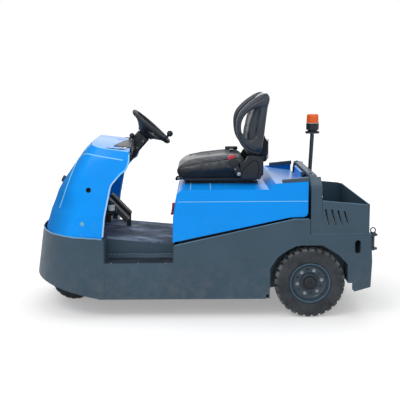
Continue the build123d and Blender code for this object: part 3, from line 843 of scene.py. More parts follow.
def new_items(made, kind):
    """The corners or edges that an operator made."""
    return [item for item in made["geom"] if isinstance(item, kind)]


def round_spot(centre, radius, degrees):
    """A point at a radius and an angle about a wheel's axle."""
    angle = math.radians(degrees)
    return Vector(centre) + Vector((radius * math.cos(angle), 0, radius * math.sin(angle)))


def hex_bolt(bm, centre, normal, across, height, washer=True):
    """A washer and a hex head with a small flat top."""
    centre, normal = Vector(centre), Vector(normal).normalized()
    if washer:
        rod(bm, centre, centre + normal * height * 0.3, across * 0.78, segments=20)
    foot = centre + normal * (height * 0.25 if washer else 0.0)
    rod(bm, foot, foot + normal * height * 0.8, across / 2 / 0.866, segments=6)
    rod(
        bm,
        foot + normal * height * 0.79,
        foot + normal * height * 0.95,
        across * 0.5,
        across * 0.38,
        segments=18,
    )


def round_edges(bm, width, segments=2, angle=30.0):
    """Bevel every edge sharper than an angle."""
    sharp = [
        edge
        for edge in bm.edges
        if len(edge.link_faces) == 2 and edge.calc_face_angle(0) > math.radians(angle)
    ]
    bmesh.ops.bevel(
        bm,
        geom=sharp,
        offset=width,
        offset_type="OFFSET",
        segments=segments,
        profile=0.5,
        affect="EDGES",
        clamp_overlap=True,
        material=-1,
    )


def strand(name, points, radius, material, body, slot, order=3, closed=False):
    """A round strip along points, smooth where order is over two."""
    curve = bpy.data.curves.new(name, "CURVE")
    curve.dimensions = "3D"
    curve.bevel_depth = radius
    curve.bevel_resolution = 3
    curve.use_fill_caps = not closed
    curve.resolution_u = 6
    line = curve.splines.new("NURBS")
    line.points.add(len(points) - 1)
    for spot, point in zip(line.points, points):
        spot.co = (*point, 1.0)
    line.use_cyclic_u = closed
    line.order_u = order
    line.use_endpoint_u = not closed
    holder = linked(name + "_line", curve)
    bpy.context.view_layer.update()
    mesh = evaluated(holder)
    mesh.name = name
    set_up(mesh, name, material, body, 50.0, 0.0)


TREES = {}

# How far out a line starts that looks for the body's side
BESIDE = 0.8


def tree_of(mesh):
    """A search tree over a mesh's faces."""
    corners = [vertex.co.copy() for vertex in mesh.vertices]
    return BVHTree.FromPolygons(corners, [face.vertices[:] for face in mesh.polygons])


def cast(name, start, direction):
    """What a straight line first meets on a CAD node, if anything."""
    if name not in TREES:
        TREES[name] = tree_of(NODES[name].data)
    return TREES[name].ray_cast(Vector(start), Vector(direction))


def hit(name, start, direction):
    """Where a straight line first meets a CAD node, or an error."""
    spot, normal, _, _ = cast(name, start, direction)
    if spot is None:
        raise ValueError(f"no face of {name} lies that way from {start}")
    return spot, normal


def cowl_line(points, side, lift):
    """Points in X and Z laid on the near or far side of the cowl."""
    laid = []
    for x, z in points:
        spot, _ = hit("cowl", (x, side * BESIDE, z), (0, -side, 0))
        laid.append(spot + Vector((0, side * lift, 0)))
    return laid


def smooth_step(value, low, high):
    share = max(0.0, min(1.0, (value - low) / (high - low)))
    return share * share * (3 - 2 * share)


def between(points, count):
    """Even steps along a run of points in X and Z."""
    lengths = [0.0]
    for first, second in zip(points, points[1:]):
        lengths.append(lengths[-1] + math.dist(first, second))
    laid = []
    for index in range(count):
        want = lengths[-1] * index / (count - 1)
        for number in range(len(points) - 1):
            if want <= lengths[number + 1] + 1e-9:
                break
        share = (want - lengths[number]) / (lengths[number + 1] - lengths[number])
        first, second = points[number], points[number + 1]
        laid.append(tuple(a + (b - a) * share for a, b in zip(first, second)))
    return laid


# Body panels and chassis

BLUE_PANELS = ("inner_panel", "battery_hood")
SLATE_PANELS = (
    "front_bumper",
    "side_body_left",
    "side_body_right",
    "counterweight",
    "cargo_bin",
    "hoop_frame",
    "hood_rail_left",
    "hood_rail_right",
    "hitch_bracket",
)
CHASSIS_PARTS = ("chassis_frame", "rear_axle", "steer_fork", "pedal_bracket", "seat_rails")

# Rows of the cowl as height, nose, half width and where the front begins to round
COWL_PLAN = (
    (0.450, -1.034, 0.463, -0.704),
    (0.616, -0.983, 0.456, -0.653),
    (0.745, -0.925, 0.440, -0.595),
    (0.839, -0.871, 0.420, -0.541),
    (0.941, -0.807, 0.390, -0.480),
    (1.000, -0.762, 0.366, -0.480),
    (1.070, -0.690, 0.330, -0.480),
)


def cowl_plan(height):
    """Nose, half width and start of the rounded front at a height."""
    height = min(max(height, COWL_PLAN[0][0]), COWL_PLAN[-1][0])
    for low, high in zip(COWL_PLAN, COWL_PLAN[1:]):
        if height <= high[0]:
            break
    share = (height - low[0]) / (high[0] - low[0])
    return [first + (second - first) * share for first, second in zip(low[1:], high[1:])]


# The arched top: height at one place, fall to the rear, and twice the radius of the arch
CROWN_X, CROWN_Z, CROWN_FALL, CROWN_ARCH = -0.650, 1.046, 0.1228, 3.434

# The solid's plan is rounded by the low power; the real one reaches the high power at its top
ROUND_POWER, SQUARE_POWER = 2.5, 6.0
NOSE_DRAWN_BACK = 0.024


def crown_height(x, y):
    """Height of the arched top, which falls to the rear."""
    return CROWN_Z - (x - CROWN_X) * CROWN_FALL - y * y / CROWN_ARCH


def fuller(spot):
    """Move a point of the cowl so that its front grows squarer towards the top."""
    nose, half, start = cowl_plan(spot.z)
    along = (start - spot.x) / (start - nose)
    across = abs(spot.y) / half
    amount = smooth_step(spot.z, 0.64, 0.98)
    if along <= 0.0 or amount == 0.0:
        return spot
    reach = (along ** ROUND_POWER + across ** ROUND_POWER) ** (1.0 / ROUND_POWER)
    power = ROUND_POWER + (SQUARE_POWER - ROUND_POWER) * amount
    full = (along ** power + across ** power) ** (1.0 / power)
    top = crown_height(spot.x, spot.y)
    if reach > 0.994 and spot.z < top - 0.0005:
        reach = 1.0
    moved = Vector(spot)
    for _ in range(3):
        nose, half, start = cowl_plan(moved.z)
        nose += NOSE_DRAWN_BACK * smooth_step(moved.z, 0.70, 0.96)
        moved.x = start - along * (reach / full) * (start - nose)
        moved.y = math.copysign(across * (reach / full) * half, spot.y)
        fall = top - crown_height(moved.x, moved.y)
        moved.z = spot.z - fall * (1.0 - smooth_step(top - spot.z, 0.012, 0.10))
    return moved


class TUG_OT_panels(bpy.types.Operator):
    """Panels of the body with painted, softly rounded sheet edges"""

    bl_idname = "tug.panels"
    bl_label = "Body panels"

    def execute(self, context):
        edge = sizes().edge_round
        self.make_cowl(edge)
        for name in BLUE_PANELS:
            shell_of(name, "gloss_blue", edge)
        for name in SLATE_PANELS:
            shell_of(name, "slate_paint", edge)
        return {"FINISHED"}

    def make_cowl(self, edge):
        """The cowl with fuller front corners towards its top, for its CAD node."""
        bm = merged("cowl")
        cuts = [((-1.03 + 0.012 * number, 0, 0), (1, 0, 0)) for number in range(47)]
        cuts += [((0, -0.45 + 0.025 * number, 0), (0, 1, 0)) for number in range(37)]
        cuts += [((0, 0, 0.60 + 0.025 * number), (0, 0, 1)) for number in range(18)]
        for spot, normal in cuts:
            whole = bm.verts[:] + bm.edges[:] + bm.faces[:]
            bmesh.ops.bisect_plane(bm, geom=whole, dist=1e-6, plane_co=spot, plane_no=normal)
        for vert in bm.verts:
            vert.co = fuller(vert.co)
        bmesh.ops.recalc_face_normals(bm, faces=bm.faces)
        TREES["cowl"] = BVHTree.FromBMesh(bm)
        panel = place(bm, "cowl_panel", "gloss_blue", "chassis", "body_blue", PANEL_SMOOTH, edge)
        stand_for(panel, "cowl")


class TUG_OT_chassis(bpy.types.Operator):
    """Chassis, axle, fork and other black painted steel"""

    bl_idname = "tug.chassis"
    bl_label = "Chassis parts"

    def execute(self, context):
        for name in CHASSIS_PARTS:
            shell_of(name, "chassis_paint", 0.0012)
        shell_of("battery_block", "battery_steel", 0.004)
        shell_of("beacon_pole", "pole_paint", 0.001)
        bm = bmesh.new()
        for side in SIDES:
            for x in (-0.60, -0.42, -0.24, 0.0, 0.2, 0.33):
                hex_bolt(bm, (x, side * 0.40, 0.118), (0, 0, -1), 0.016, 0.006)
        for x in (0.50, 0.55, 0.63, 0.68):
            for z in (0.15, 0.265):
                hex_bolt(bm, (x, -0.1052, z), (0, -1, 0), 0.012, 0.006)
        place(bm, "underside_bolts", "zinc_steel", "chassis", "frame_black")
        return {"FINISHED"}


class TUG_OT_cowl_trim(bpy.types.Operator):
    """Rolled rear edge, pressed creases, plugs and lamp bezel of the cowl"""

    bl_idname = "tug.cowl_trim"
    bl_label = "Cowl trim"

    # The rear edge and the crease's two runs from its corner, each in X and Z
    REAR = (
        (-0.6255, 0.492),
        (-0.6135, 0.605),
        (-0.6015, 0.664),
        (-0.5745, 0.792),
        (-0.5125, 0.862),
        (-0.4865, 0.876),
        (-0.4695, 0.924),
        (-0.4685, 0.966),
    )
    UPPER = ((-0.782, 0.925), (-0.752, 0.961), (-0.719, 0.971), (-0.503, 0.935))
    LOWER = ((-0.782, 0.925), (-0.805, 0.868), (-0.852, 0.745), (-0.891, 0.649))

    # The lamp's place and lean, and its turned sections out along its axis and away from it
    LAMP_AT = Vector((-0.912, 0, 0.7738))
    LAMP_LEAN = math.radians(-65)
    RING = (
        (-0.012, 0.0155),
        (-0.012, 0.0225),
        (-0.001, 0.0225),
        (0.002, 0.0205),
        (0.002, 0.0165),
        (0.0, 0.0155),
    )
    GLASS = ((-0.001, 0.0), (-0.001, 0.0152), (0.0008, 0.0148), (0.0018, 0.010), (0.0022, 0.0))

    def execute(self, context):
        bead = sizes().bead_radius
        crease = sizes().crease_radius
        # The crease beads, ridges and lip bead are lighter blue and the rolled edge paler blue, as painted
        # highlights.
        blue = ("edge_blue", "chassis", "body_blue")
        for side, word in NAMED_SIDES:
            edge = between(self.REAR, 26)
            line = cowl_line([(x - 0.004, z) for x, z in edge], side, -0.002)
            line = [spot + Vector((0.003, 0, 0)) for spot in line]
            strand(f"cowl_edge_bead_{word}", line[:18], bead, "rolled_highlight", *blue[1:])
            strand(f"cowl_lip_bead_{word}", line[17:], bead, *blue)
            corner = between(self.LOWER, 16)[::-1] + between(self.UPPER, 22)[1:]
            strand(f"cowl_crease_{word}", cowl_line(corner, side, -0.0006), crease, *blue)
            ridge = [self.top_edge(side, -0.735 + 0.013 * number) for number in range(21)]
            strand(f"cowl_ridge_{word}", ridge, crease, *blue)
            # The belt line along the bumper's top edge is a pale strand of painted highlight.
            belt = [self.belt_point(side, -1.030 + 0.021 * number) for number in range(20)]
            strand(f"cowl_belt_line_{word}", belt, 0.0042, "belt_highlight", "chassis", "body_grey")
        self.make_dash()
        self.make_plugs()
        self.make_bezel()
        return {"FINISHED"}

    def top_edge(self, side, x):
        """Where the arched top of the cowl meets its side."""
        spot, _ = hit("cowl", (x, side * 0.30, 1.5), (0, 0, -1))
        for number in range(1, 90):
            there, normal = hit("cowl", (x, side * (0.30 + 0.001 * number), 1.5), (0, 0, -1))
            if abs(normal.z) < 0.8:
                break
            spot = there
        return spot - Vector((0, 0, 0.0008))

    def belt_point(self, side, x):
        """Top edge of the bumper beside the foot of the cowl."""
        inward = (0, -side, 0)
        steps = [0.30 + 0.004 * number for number in range(80)]
        met = [z for z in steps if cast("front_bumper", (x, side * 0.9, z), inward)[0] is not None]
        spot, _ = hit("front_bumper", (x, side * 0.9, met[-1]), inward)
        return Vector((x, spot.y - side * 0.001, met[-1] + 0.001))

    def make_dash(self):
        """Black dash across the top of the cowl, the blue cover before it and the pale dial covers."""
        self.add_plate("cowl_slot_cover", "gloss_blue", "body_blue", 0.082, -0.564, -0.498, 0.0012)
        self.add_plate("cowl_dash", "moulded_plastic", "black_plastic", 0.300, -0.500, -0.4645, 0.005)
        lip = bmesh.new()
        bmesh.ops.create_grid(lip, x_segments=2, y_segments=24, size=0.5)
        for vert in lip.verts:
            y = 0.6 * vert.co.y
            vert.co = Vector((-0.4635, y, crown_height(-0.465, y) + 0.004 - 0.045 * (vert.co.x + 0.5)))
        bmesh.ops.recalc_face_normals(lip, faces=lip.faces)
        bmesh.ops.solidify(lip, geom=lip.faces[:], thickness=0.003)
        place(lip, "cowl_dash_lip", "moulded_plastic", "chassis", "black_plastic", edge=0.001)
        dials = bmesh.new()
        for side in SIDES:
            for x, y, wide, deep in ((-0.4985, 0.318, 0.024, 0.030), (-0.521, 0.322, 0.014, 0.022)):
                z = crown_height(x, side * y) + 0.0015
                brick(dials, (x, side * y, z), (wide, deep, 0.007))
        place(dials, "cowl_dial_covers", "pale_plastic", "chassis", "black_plastic", edge=0.002)
        # The grooves across the top are black strands of painted shade.
        for side, word in NAMED_SIDES:
            run = (-0.604, -0.58, -0.555, -0.525, -0.502)
            line = [(x, side * (0.352 - 0.08 * (x + 0.56))) for x in run]
            groove = [Vector((x, y, crown_height(x, y) - 0.0004)) for x, y in line]
            strand(f"cowl_top_groove_{word}", groove, 0.0034, "shade_black", "chassis", "body_blue", order=2)

    def add_plate(self, name, material, slot, half, front, rear, lift):
        """A plate that follows the crown, drawn forward at its ends where it is wide."""
        bm = bmesh.new()
        bmesh.ops.create_grid(bm, x_segments=4, y_segments=24, size=0.5)
        for vert in bm.verts:
            y = half * 2 * vert.co.y
            start = front - 0.066 * max(0.0, min(1.0, (abs(y) - 0.08) / 0.22))
            x = start + (rear - start) * (vert.co.x + 0.5)
            vert.co = Vector((x, y, crown_height(x, y) + lift))
        made = bmesh.ops.extrude_face_region(bm, geom=bm.faces[:])
        for vert in new_items(made, bmesh.types.BMVert):
            vert.co.z -= lift + 0.004
        place(bm, name, material, "chassis", slot, edge=min(0.002, lift * 0.8))

    def make_plugs(self):
        """A black disc of painted shade for a hole high on each side, and a plug low on each side."""
        holes, plugs = bmesh.new(), bmesh.new()
        for side in SIDES:
            spot, normal = self.outward(-0.704, 0.766, side)
            rod(holes, spot - normal * 0.002, spot + normal * 0.0008, 0.015, segments=32)
            spot, normal = self.outward(-0.744, 0.570, side)
            rod(plugs, spot - normal * 0.002, spot + normal * 0.002, 0.0135, 0.012, segments=32)
            ball(plugs, spot + normal * 0.001, 0.0085, (1, 0.45, 1))
        place(holes, "cowl_side_holes", "shade_black", "chassis", "body_blue")
        place(plugs, "cowl_side_plugs", "plug_plastic", "chassis", "black_plastic")

    def outward(self, x, z, side):
        """A point on the cowl's side and the way out from it."""
        spot, normal = hit("cowl", (x, side * BESIDE, z), (0, -side, 0))
        return spot, normal if normal.y * side > 0 else -normal

    def make_bezel(self):
        """Ring and glass of the round lamp in the cowl's sloping front."""
        slant = Vector((math.sin(self.LAMP_LEAN), 0, math.cos(self.LAMP_LEAN)))
        centre = self.LAMP_AT + slant * 0.016
        naming = ("chassis", "black_plastic")
        turned_piece(self.RING, centre, slant, 40, "lamp_bezel", "moulded_plastic", *naming)
        turned_piece(self.GLASS, centre, slant, 32, "lamp_glass", "clear_plastic", *naming)
        # The lamp's CAD body behind the glass is black as painted shade.
        recoat("front_lamp", "shade_black")


class TUG_OT_hood_trim(bpy.types.Operator):
    """Pressed crease, front handle, bolts and top ribs of the battery hood, and the hoop's top bolts"""

    bl_idname = "tug.hood_trim"
    bl_label = "Hood trim"

    def execute(self, context):
        radius = sizes().crease_radius * 0.55
        # The hood's creases and top ribs are lighter blue as painted highlights.
        blue = ("edge_blue", "hood", "body_blue")
        level = 0.697
        for side, word in NAMED_SIDES:
            crease = [Vector((x, side * 0.4552, level)) for x in (-0.186, 0.0, 0.3, 0.571)]
            strand(f"hood_crease_{word}", crease, radius, *blue, order=2)
        crease = [Vector((-0.2002, y, level)) for y in (-0.438, 0.0, 0.438)]
        strand("hood_crease_front", crease, radius, *blue, order=2)
        shell_of("stop_handle", "handle_red", 0.004)
        bm = bmesh.new()
        for z in (0.606, 0.664):
            x = -0.2150 + (z - 0.600) * 0.157
            hex_bolt(bm, (x - 0.0155, -0.32, z), (-1, 0, 0.16), 0.008, 0.004, washer=False)
        for side in SIDES:
            for x in (0.445, 0.50, 0.555):
                z = 0.8045 + (x - 0.422) * 0.054
                hex_bolt(bm, (x, side * 0.418, z), (-0.05, 0, 1), 0.010, 0.005)
        place(bm, "hood_bolts", "slate_paint", "hood", "body_grey")
        ribs, bolts = bmesh.new(), bmesh.new()
        top = 0.7675
        for side in SIDES:
            for x in (-0.111, 0.006):
                rod(ribs, (x, side * 0.176, top), (x, side * 0.448, top), 0.003, segments=16)
            hex_bolt(bolts, (0.60, side * 0.330, 0.842), (0, 0, 1), 0.012, 0.006)
        place(ribs, "hood_top_ribs", "edge_blue", "hood", "body_blue")
        place(bolts, "hoop_bolts", "slate_paint", "chassis", "body_grey")
        return {"FINISHED"}


class TUG_OT_bin_trim(bpy.types.Operator):
    """Louvres, seams and rolled rim of the cargo bin, with the hoop's bolts"""

    bl_idname = "tug.bin_trim"
    bl_label = "Bin and hoop trim"

    # The upper and lower end of each slit, then the runs of trim, all in X and Z
    LOUVRES = (
        (0.671, 0.652, 0.690, 0.562),
        (0.707, 0.650, 0.730, 0.560),
        (0.743, 0.645, 0.766, 0.560),
        (0.780, 0.640, 0.799, 0.572),
    )
    FLANGE = ((0.588, 0.505), (0.7, 0.505), (0.912, 0.506), (0.934, 0.512))
    RIM = ((0.652, 0.6995), (0.75, 0.690), (0.85, 0.681), (0.915, 0.6748))
    SKIRT = ((-0.206, 0.4425), (0.14, 0.5175), (0.47, 0.590), (0.489, 0.594), (0.574, 0.5955))

    def execute(self, context):
        self.make_louvres()
        # The seams, rims and skirt edges are lighter slate as painted highlights.
        pale = ("slate_highlight", "chassis", "body_grey")
        for side, word in NAMED_SIDES:
            flange = [Vector((x, side * 0.4705, z)) for x, z in self.FLANGE]
            strand(f"bin_seam_{word}", flange, 0.0026, *pale)
            rim = [Vector((x, side * 0.4675, z)) for x, z in self.RIM]
            strand(f"bin_rim_{word}", rim, 0.0034, *pale, order=2)
            skirt = [Vector((x, side * 0.4675, z)) for x, z in self.SKIRT]
            strand(f"skirt_edge_{word}", skirt, 0.003, *pale, order=2)
        rim = [Vector((0.9275, y, 0.6745)) for y in (-0.452, 0.0, 0.452)]
        strand("bin_rim_rear", rim, 0.0034, *pale, order=2)
        bolts = bmesh.new()
        for side in SIDES:
            out = (0, side, 0)
            for z in (0.53, 0.62, 0.71):
                hex_bolt(bolts, (0.600, side * 0.4702, z), out, 0.009, 0.003, washer=False)
            hex_bolt(bolts, (0.652, side * 0.4702, 0.512), out, 0.008, 0.0025, washer=False)
        place(bolts, "hoop_bolts", "slate_paint", "chassis", "body_grey")
        return {"FINISHED"}

    def make_louvres(self):
        """Four slits on each side as dark rods and balls of painted shade, each with a pressed teardrop.
        """
        louvres, slits = bmesh.new(), bmesh.new()
        for side in SIDES:
            face = side * 0.4680
            for top_x, top_z, low_x, low_z in self.LOUVRES:
                self.add_louvre(louvres, side, Vector((top_x, 0, top_z)), Vector((low_x, 0, low_z)))
                rod(slits, (top_x, face, top_z - 0.004), (low_x, face, low_z), 0.0042, 0.0022, 12)
                ball(slits, (top_x, face, top_z - 0.006), 0.0062, (1, 0.6, 1.2))
        place(louvres, "bin_louvres", "slate_paint", "chassis", "body_grey", smooth=60.0)
        place(slits, "bin_slits", "shade_black", "chassis", "body_grey", smooth=60.0)

    def add_louvre(self, bm, side, top, low):
        """A pressed teardrop over the lower part of one slit."""
        run = (low - top).normalized()
        centre = top + (low - top) * 0.58
        centre.x += 0.007
        centre.y = side * 0.4697
        out = Vector((0, side, 0))
        radii = Matrix.Diagonal((0.0034, 0.0042, (low - top).length * 0.44, 1.0))
        made = bmesh.ops.create_uvsphere(
            bm,
            u_segments=16,
            v_segments=14,
            radius=1.0,
            matrix=Matrix.Translation(centre) @ axes(run.cross(out), out, run) @ radii,
        )["verts"]
        faces = list({face for vert in made for face in vert.link_faces})
        edges = list({edge for vert in made for edge in vert.link_edges})
        bmesh.ops.bisect_plane(
            bm,
            geom=made + edges + faces,
            dist=1e-7,
            plane_co=(0, side * 0.4690, 0),
            plane_no=out,
            clear_inner=True,
        )


class TUG_OT_skirt_trim(bpy.types.Operator):
    """Slot rims, joints, top edges, step welds and step rubbers of the skirts"""

    bl_idname = "tug.skirt_trim"
    bl_label = "Skirt trim"

    # The skirt's top edge in X and Z, and the ribs across each step
    TOP = ((-0.206, 0.4415), (0.489, 0.5942), (0.576, 0.5952))
    RIBS = 13

    def execute(self, context):
        self.make_step_rubbers()
        grey = ("slate_paint", "chassis", "body_grey")
        for side, word in NAMED_SIDES:
            lip = []
            for turn in range(24):
                angle = math.tau * turn / 24
                x = 0.863 + 0.0185 * math.cos(angle)
                z = 0.429 + 0.0185 * math.sin(angle) + math.copysign(0.0215, math.sin(angle))
                lip.append(Vector((x, side * 0.4700, z)))
            strand(f"slot_lip_{word}", lip, 0.0016, *grey, closed=True)
            joint = [Vector((-0.6215, side * 0.4702, z)) for z in (0.120, 0.25, 0.333, 0.482)]
            strand(f"bumper_joint_{word}", joint, 0.0012, *grey, order=2)
            # The skirt's top edge is a pale strand of painted highlight.
            rim = [Vector((x, side * 0.4683, z)) for x, z in self.TOP]
            strand(f"skirt_top_edge_{word}", rim, 0.0022, "belt_highlight", *grey[1:], order=2)
            weld = []
            for number in range(32):
                wobble = 0.0022 * math.sin(2.6 * number) + 0.0012 * math.sin(5.9 * number)
                x = -0.613 + 0.0126 * number
                weld.append(Vector((x, side * (0.3062 + wobble), 0.3545 + wobble)))
            strand(f"step_weld_{word}", weld, 0.0026, "weld_grey", *grey[1:])
        return {"FINISHED"}

    def make_step_rubbers(self):
        rib = sizes().mat_rib
        for side, word in NAMED_SIDES:
            bm = bmesh.new()
            inner, outer = sorted((side * 0.325, side * 0.452))
            block(bm, (-0.606, inner, 0.3351), (-0.229, outer, 0.3375))
            for number in range(self.RIBS):
                y = inner + 0.006 + (outer - inner - 0.012) * number / (self.RIBS - 1)
                block(bm, (-0.602, y - 0.0026, 0.337), (-0.233, y + 0.0026, 0.3375 + rib))
            round_edges(bm, 0.0006, 1, 60)
            place(bm, f"step_rubber_{word}", "step_rubber", "chassis", "black_rubber", weld=0)
            rivets = bmesh.new()
            for x in (-0.58, -0.42, -0.26):
                rod(rivets, (x, side * 0.4600, 0.335), (x, side * 0.4600, 0.3372), 0.004, 0.003, 16)
            place(rivets, f"step_rivets_{word}", "zinc_steel", "chassis", "bright_steel")


class TUG_OT_floor_mat(bpy.types.Operator):
    """Ribbed rubber mat on the sloping floor"""

    bl_idname = "tug.floor_mat"
    bl_label = "Floor mat"

    # Ribs across the mat, and the floor's rise to the front
    RIBS = 37
    SLOPE = -0.038 / 0.422

    def execute(self, context):
        rib = sizes().mat_rib
        bm = bmesh.new()
        block(bm, (-0.704, -0.294, 0.0), (-0.222, 0.294, 0.003))
        for number in range(self.RIBS):
            y = -0.284 + 0.568 * number / (self.RIBS - 1)
            block(bm, (-0.700, y - 0.0035, 0.0028), (-0.228, y + 0.0035, 0.003 + rib))
        round_edges(bm, 0.0006, 1, 60)
        for vert in bm.verts:
            vert.co.z += 0.4582 + self.SLOPE * (vert.co.x + 0.635)
        place(bm, "floor_mat", "floor_rubber", "chassis", "black_rubber", weld=0)
        recoat("floor_plate", "floor_rubber")
        return {"FINISHED"}


# Wheels


def tyre_profile(width, radius, low, groove):
    """Closed section of a tyre carcass as (across, out) points."""
    half = width / 2
    shoulder = (
        (0.0, 1.0),
        (0.62, 1.0),
        (0.83, 1.1),
        (0.95, 2.0),
        (0.985, 2.9),
        (0.985, 3.25),
        (0.955, 3.4),
        (0.97, 4.2),
    )
    foot = ((0.95, 0.026), (0.955, 0.021), (0.94, 0.018), (0.86, 0.007), (0.82, 0.004), (0.78, 0.0))
    side = [(half * share, radius - groove * depth) for share, depth in shoulder]
    side += [(half * share, low + rise) for share, rise in foot]
    return side + [(-across, out) for across, out in reversed(side[1:])]


def add_lugs(bm, centre, width, radius, count, groove, side, phase):
    """One ring of tread blocks that run over the shoulder."""
    half = width / 2
    path = [
        (half * 0.10, radius),
        (half * 0.36, radius),
        (half * 0.62, radius * 0.9995),
        (half * 0.84, radius - groove * 0.32),
        (half * 0.965, radius - groove * 1.25),
        (half * 0.995, radius - groove * 2.35),
    ]
    pitch = math.tau / count
    lug = bmesh.new()
    runs = len(path) - 1
    bmesh.ops.create_grid(lug, x_segments=runs, y_segments=2, size=1.0)
    for vert in lug.verts:
        along = (vert.co.x + 1) / 2
        index = min(runs - 1, int(along * runs + 1e-6))
        share = along * runs - index
        across, out = Vector(path[index]).lerp(Vector(path[index + 1]), share)
        skew = 0.24 * math.sin(along * math.pi * 0.9)
        angle = pitch * (vert.co.y * (0.31 + 0.05 * along) + skew)
        vert.co = Vector((out * math.sin(angle), side * across, out * math.cos(angle)))
    made = bmesh.ops.extrude_face_region(lug, geom=lug.faces[:])
    for vert in new_items(made, bmesh.types.BMVert):
        length = Vector((vert.co.x, 0, vert.co.z)).length
        keep = (length - groove * 1.25) / length
        vert.co.x *= keep
        vert.co.z *= keep
        vert.co.y *= 0.93
    bmesh.ops.recalc_face_normals(lug, faces=lug.faces)
    round_edges(lug, groove * 0.14, 1, 50)
    mesh = mesh_of(lug, "tread_block")
    for number in range(count):
        turn = Matrix.Rotation(pitch * (number + phase), 4, "Y")
        before = len(bm.verts)
        bm.from_mesh(mesh)
        bm.verts.ensure_lookup_table()
        bmesh.ops.transform(bm, matrix=Matrix.Translation(centre) @ turn, verts=bm.verts[before:])
    bpy.data.meshes.remove(mesh)


def tyre(name, centre, width, radius, low, count, groove, material, body):
    """A moulded tyre with two staggered rows of tread blocks."""
    bm = bmesh.new()
    lathe(bm, tyre_profile(width, radius, low, groove), centre, (0, 1, 0), 96)
    bmesh.ops.recalc_face_normals(bm, faces=bm.faces)
    add_lugs(bm, centre, width, radius, count, groove, -1, 0.0)
    add_lugs(bm, centre, width, radius, count, groove, 1, 0.5)
    piece = place(bm, name + "_moulded", material, body, "tyre_rubber", smooth=42.0, weld=0)
    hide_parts(name)


class TUG_OT_tyres(bpy.types.Operator):
    """Rear and front tyres with tread blocks over the shoulders"""

    bl_idname = "tug.tyres"
    bl_label = "Tyres"

    def execute(self, context):
        groove = sizes().lug_height
        for side, word in NAMED_SIDES:
            centre = Vector((REAR_X, side * 0.408, REAR_RADIUS))
            cut = (REAR_WIDTH, REAR_RADIUS, 0.1195, 28, groove)
            tyre(f"rear_tyre_{word}", centre, *cut, "rear_rubber", f"rear_wheel_{word}")
        cut = (FRONT_WIDTH, FRONT_RADIUS, 0.0835, 22, groove * 0.32)
        tyre("front_tyre", Vector((FRONT_X, 0, FRONT_RADIUS)), *cut, "front_rubber", "front_wheel")
        return {"FINISHED"}


class TUG_OT_rims(bpy.types.Operator):
    """Painted rims with bright bolts, dull studs and a black hub cap"""

    bl_idname = "tug.rims"
    bl_label = "Rims"

    def execute(self, context):
        for side, word in NAMED_SIDES:
            body = f"rear_wheel_{word}"
            shell_of(f"rear_rim_{word}", "wheel_paint", 0.0012)
            self.make_fittings(side, word, body)
        shell_of("front_rim", "wheel_paint", 0.001)
        bm = bmesh.new()
        for side in SIDES:
            for turn in range(5):
                spot = round_spot((FRONT_X, side * 0.0142, FRONT_RADIUS), 0.045, 20 + 72 * turn)
                hex_bolt(bm, spot, (0, side, 0), 0.011, 0.006)
            inner, outer = (Vector((FRONT_X, side * y, FRONT_RADIUS)) for y in (0.0485, 0.054))
            rod(bm, inner, outer, 0.018, 0.014)
        place(bm, "front_wheel_bolts", "zinc_steel", "front_wheel", "bright_steel")
        return {"FINISHED"}

    # Sections out from the wheel's disc and, for the lip, in from the rim's outer face
    CAP = (
        (0.0, 0.0),
        (0.0, 0.052),
        (0.016, 0.0515),
        (0.021, 0.046),
        (0.022, 0.037),
        (0.030, 0.034),
        (0.034, 0.027),
        (0.0345, 0.012),
        (0.031, 0.009),
        (0.031, 0.0),
    )
    LIP = (
        (0.0075, 0.1192),
        (0.0045, 0.1175),
        (0.0045, 0.1135),
        (0.0075, 0.1115),
        (0.0105, 0.1115),
        (0.0105, 0.1192),
    )

    def make_fittings(self, side, word, body):
        """Bolts, studs, hub cap, lip and valve of one rear wheel."""
        out = Vector((0, side, 0))
        outer = side * 0.464
        hub_at = Vector((REAR_X, outer - side * 0.046, REAR_RADIUS))
        bright, dull, hub, ring, valve = (bmesh.new() for _ in range(5))
        for turn in range(12):
            spot = round_spot(hub_at, 0.073, 9 + 30 * turn)
            if turn % 2 == 0:
                hex_bolt(bright, spot, out, 0.013, 0.013)
                rod(bright, spot + out * 0.012, spot + out * 0.018, 0.0045, 0.004, 16)
            else:
                rod(dull, spot, spot + out * 0.006, 0.0085, 0.006, 20)
                ball(dull, spot + out * 0.006, 0.0045)
        place(bright, f"wheel_bolts_{word}", "zinc_steel", body, "bright_steel")
        place(dull, f"wheel_studs_{word}", "wheel_paint", body, "rim_grey")
        lathe(hub, [(side * along, reach) for along, reach in self.CAP], hub_at, (0, 1, 0), 48)
        for turn in range(8):
            spot = round_spot(hub_at + out * 0.021, 0.042, 22 + 45 * turn)
            hex_bolt(hub, spot, out, 0.006, 0.004, washer=False)
        place(hub, f"hub_cap_{word}", "moulded_plastic", body, "frame_black")
        # The rim's lip ring is lighter slate as a painted highlight.
        lip = [(outer - side * along, reach) for along, reach in self.LIP]
        lathe(ring, lip, (REAR_X, 0, REAR_RADIUS), (0, 1, 0), 72)
        place(ring, f"rim_lip_{word}", "slate_highlight", body, "rim_grey")
        foot = hub_at + Vector((0.070, side * 0.004, -0.072))
        rod(valve, foot, hub_at + Vector((0.066, side * 0.026, -0.066)), 0.004, 0.0035, 14)
        place(valve, f"valve_{word}", "soft_grip", body, "black_rubber")


# Seat


def rub(bm, rounds):
    """Smooth a bmesh evenly."""
    for _ in range(rounds):
        bmesh.ops.smooth_vert(
            bm, verts=bm.verts, factor=0.5, use_axis_x=True, use_axis_y=True, use_axis_z=True
        )


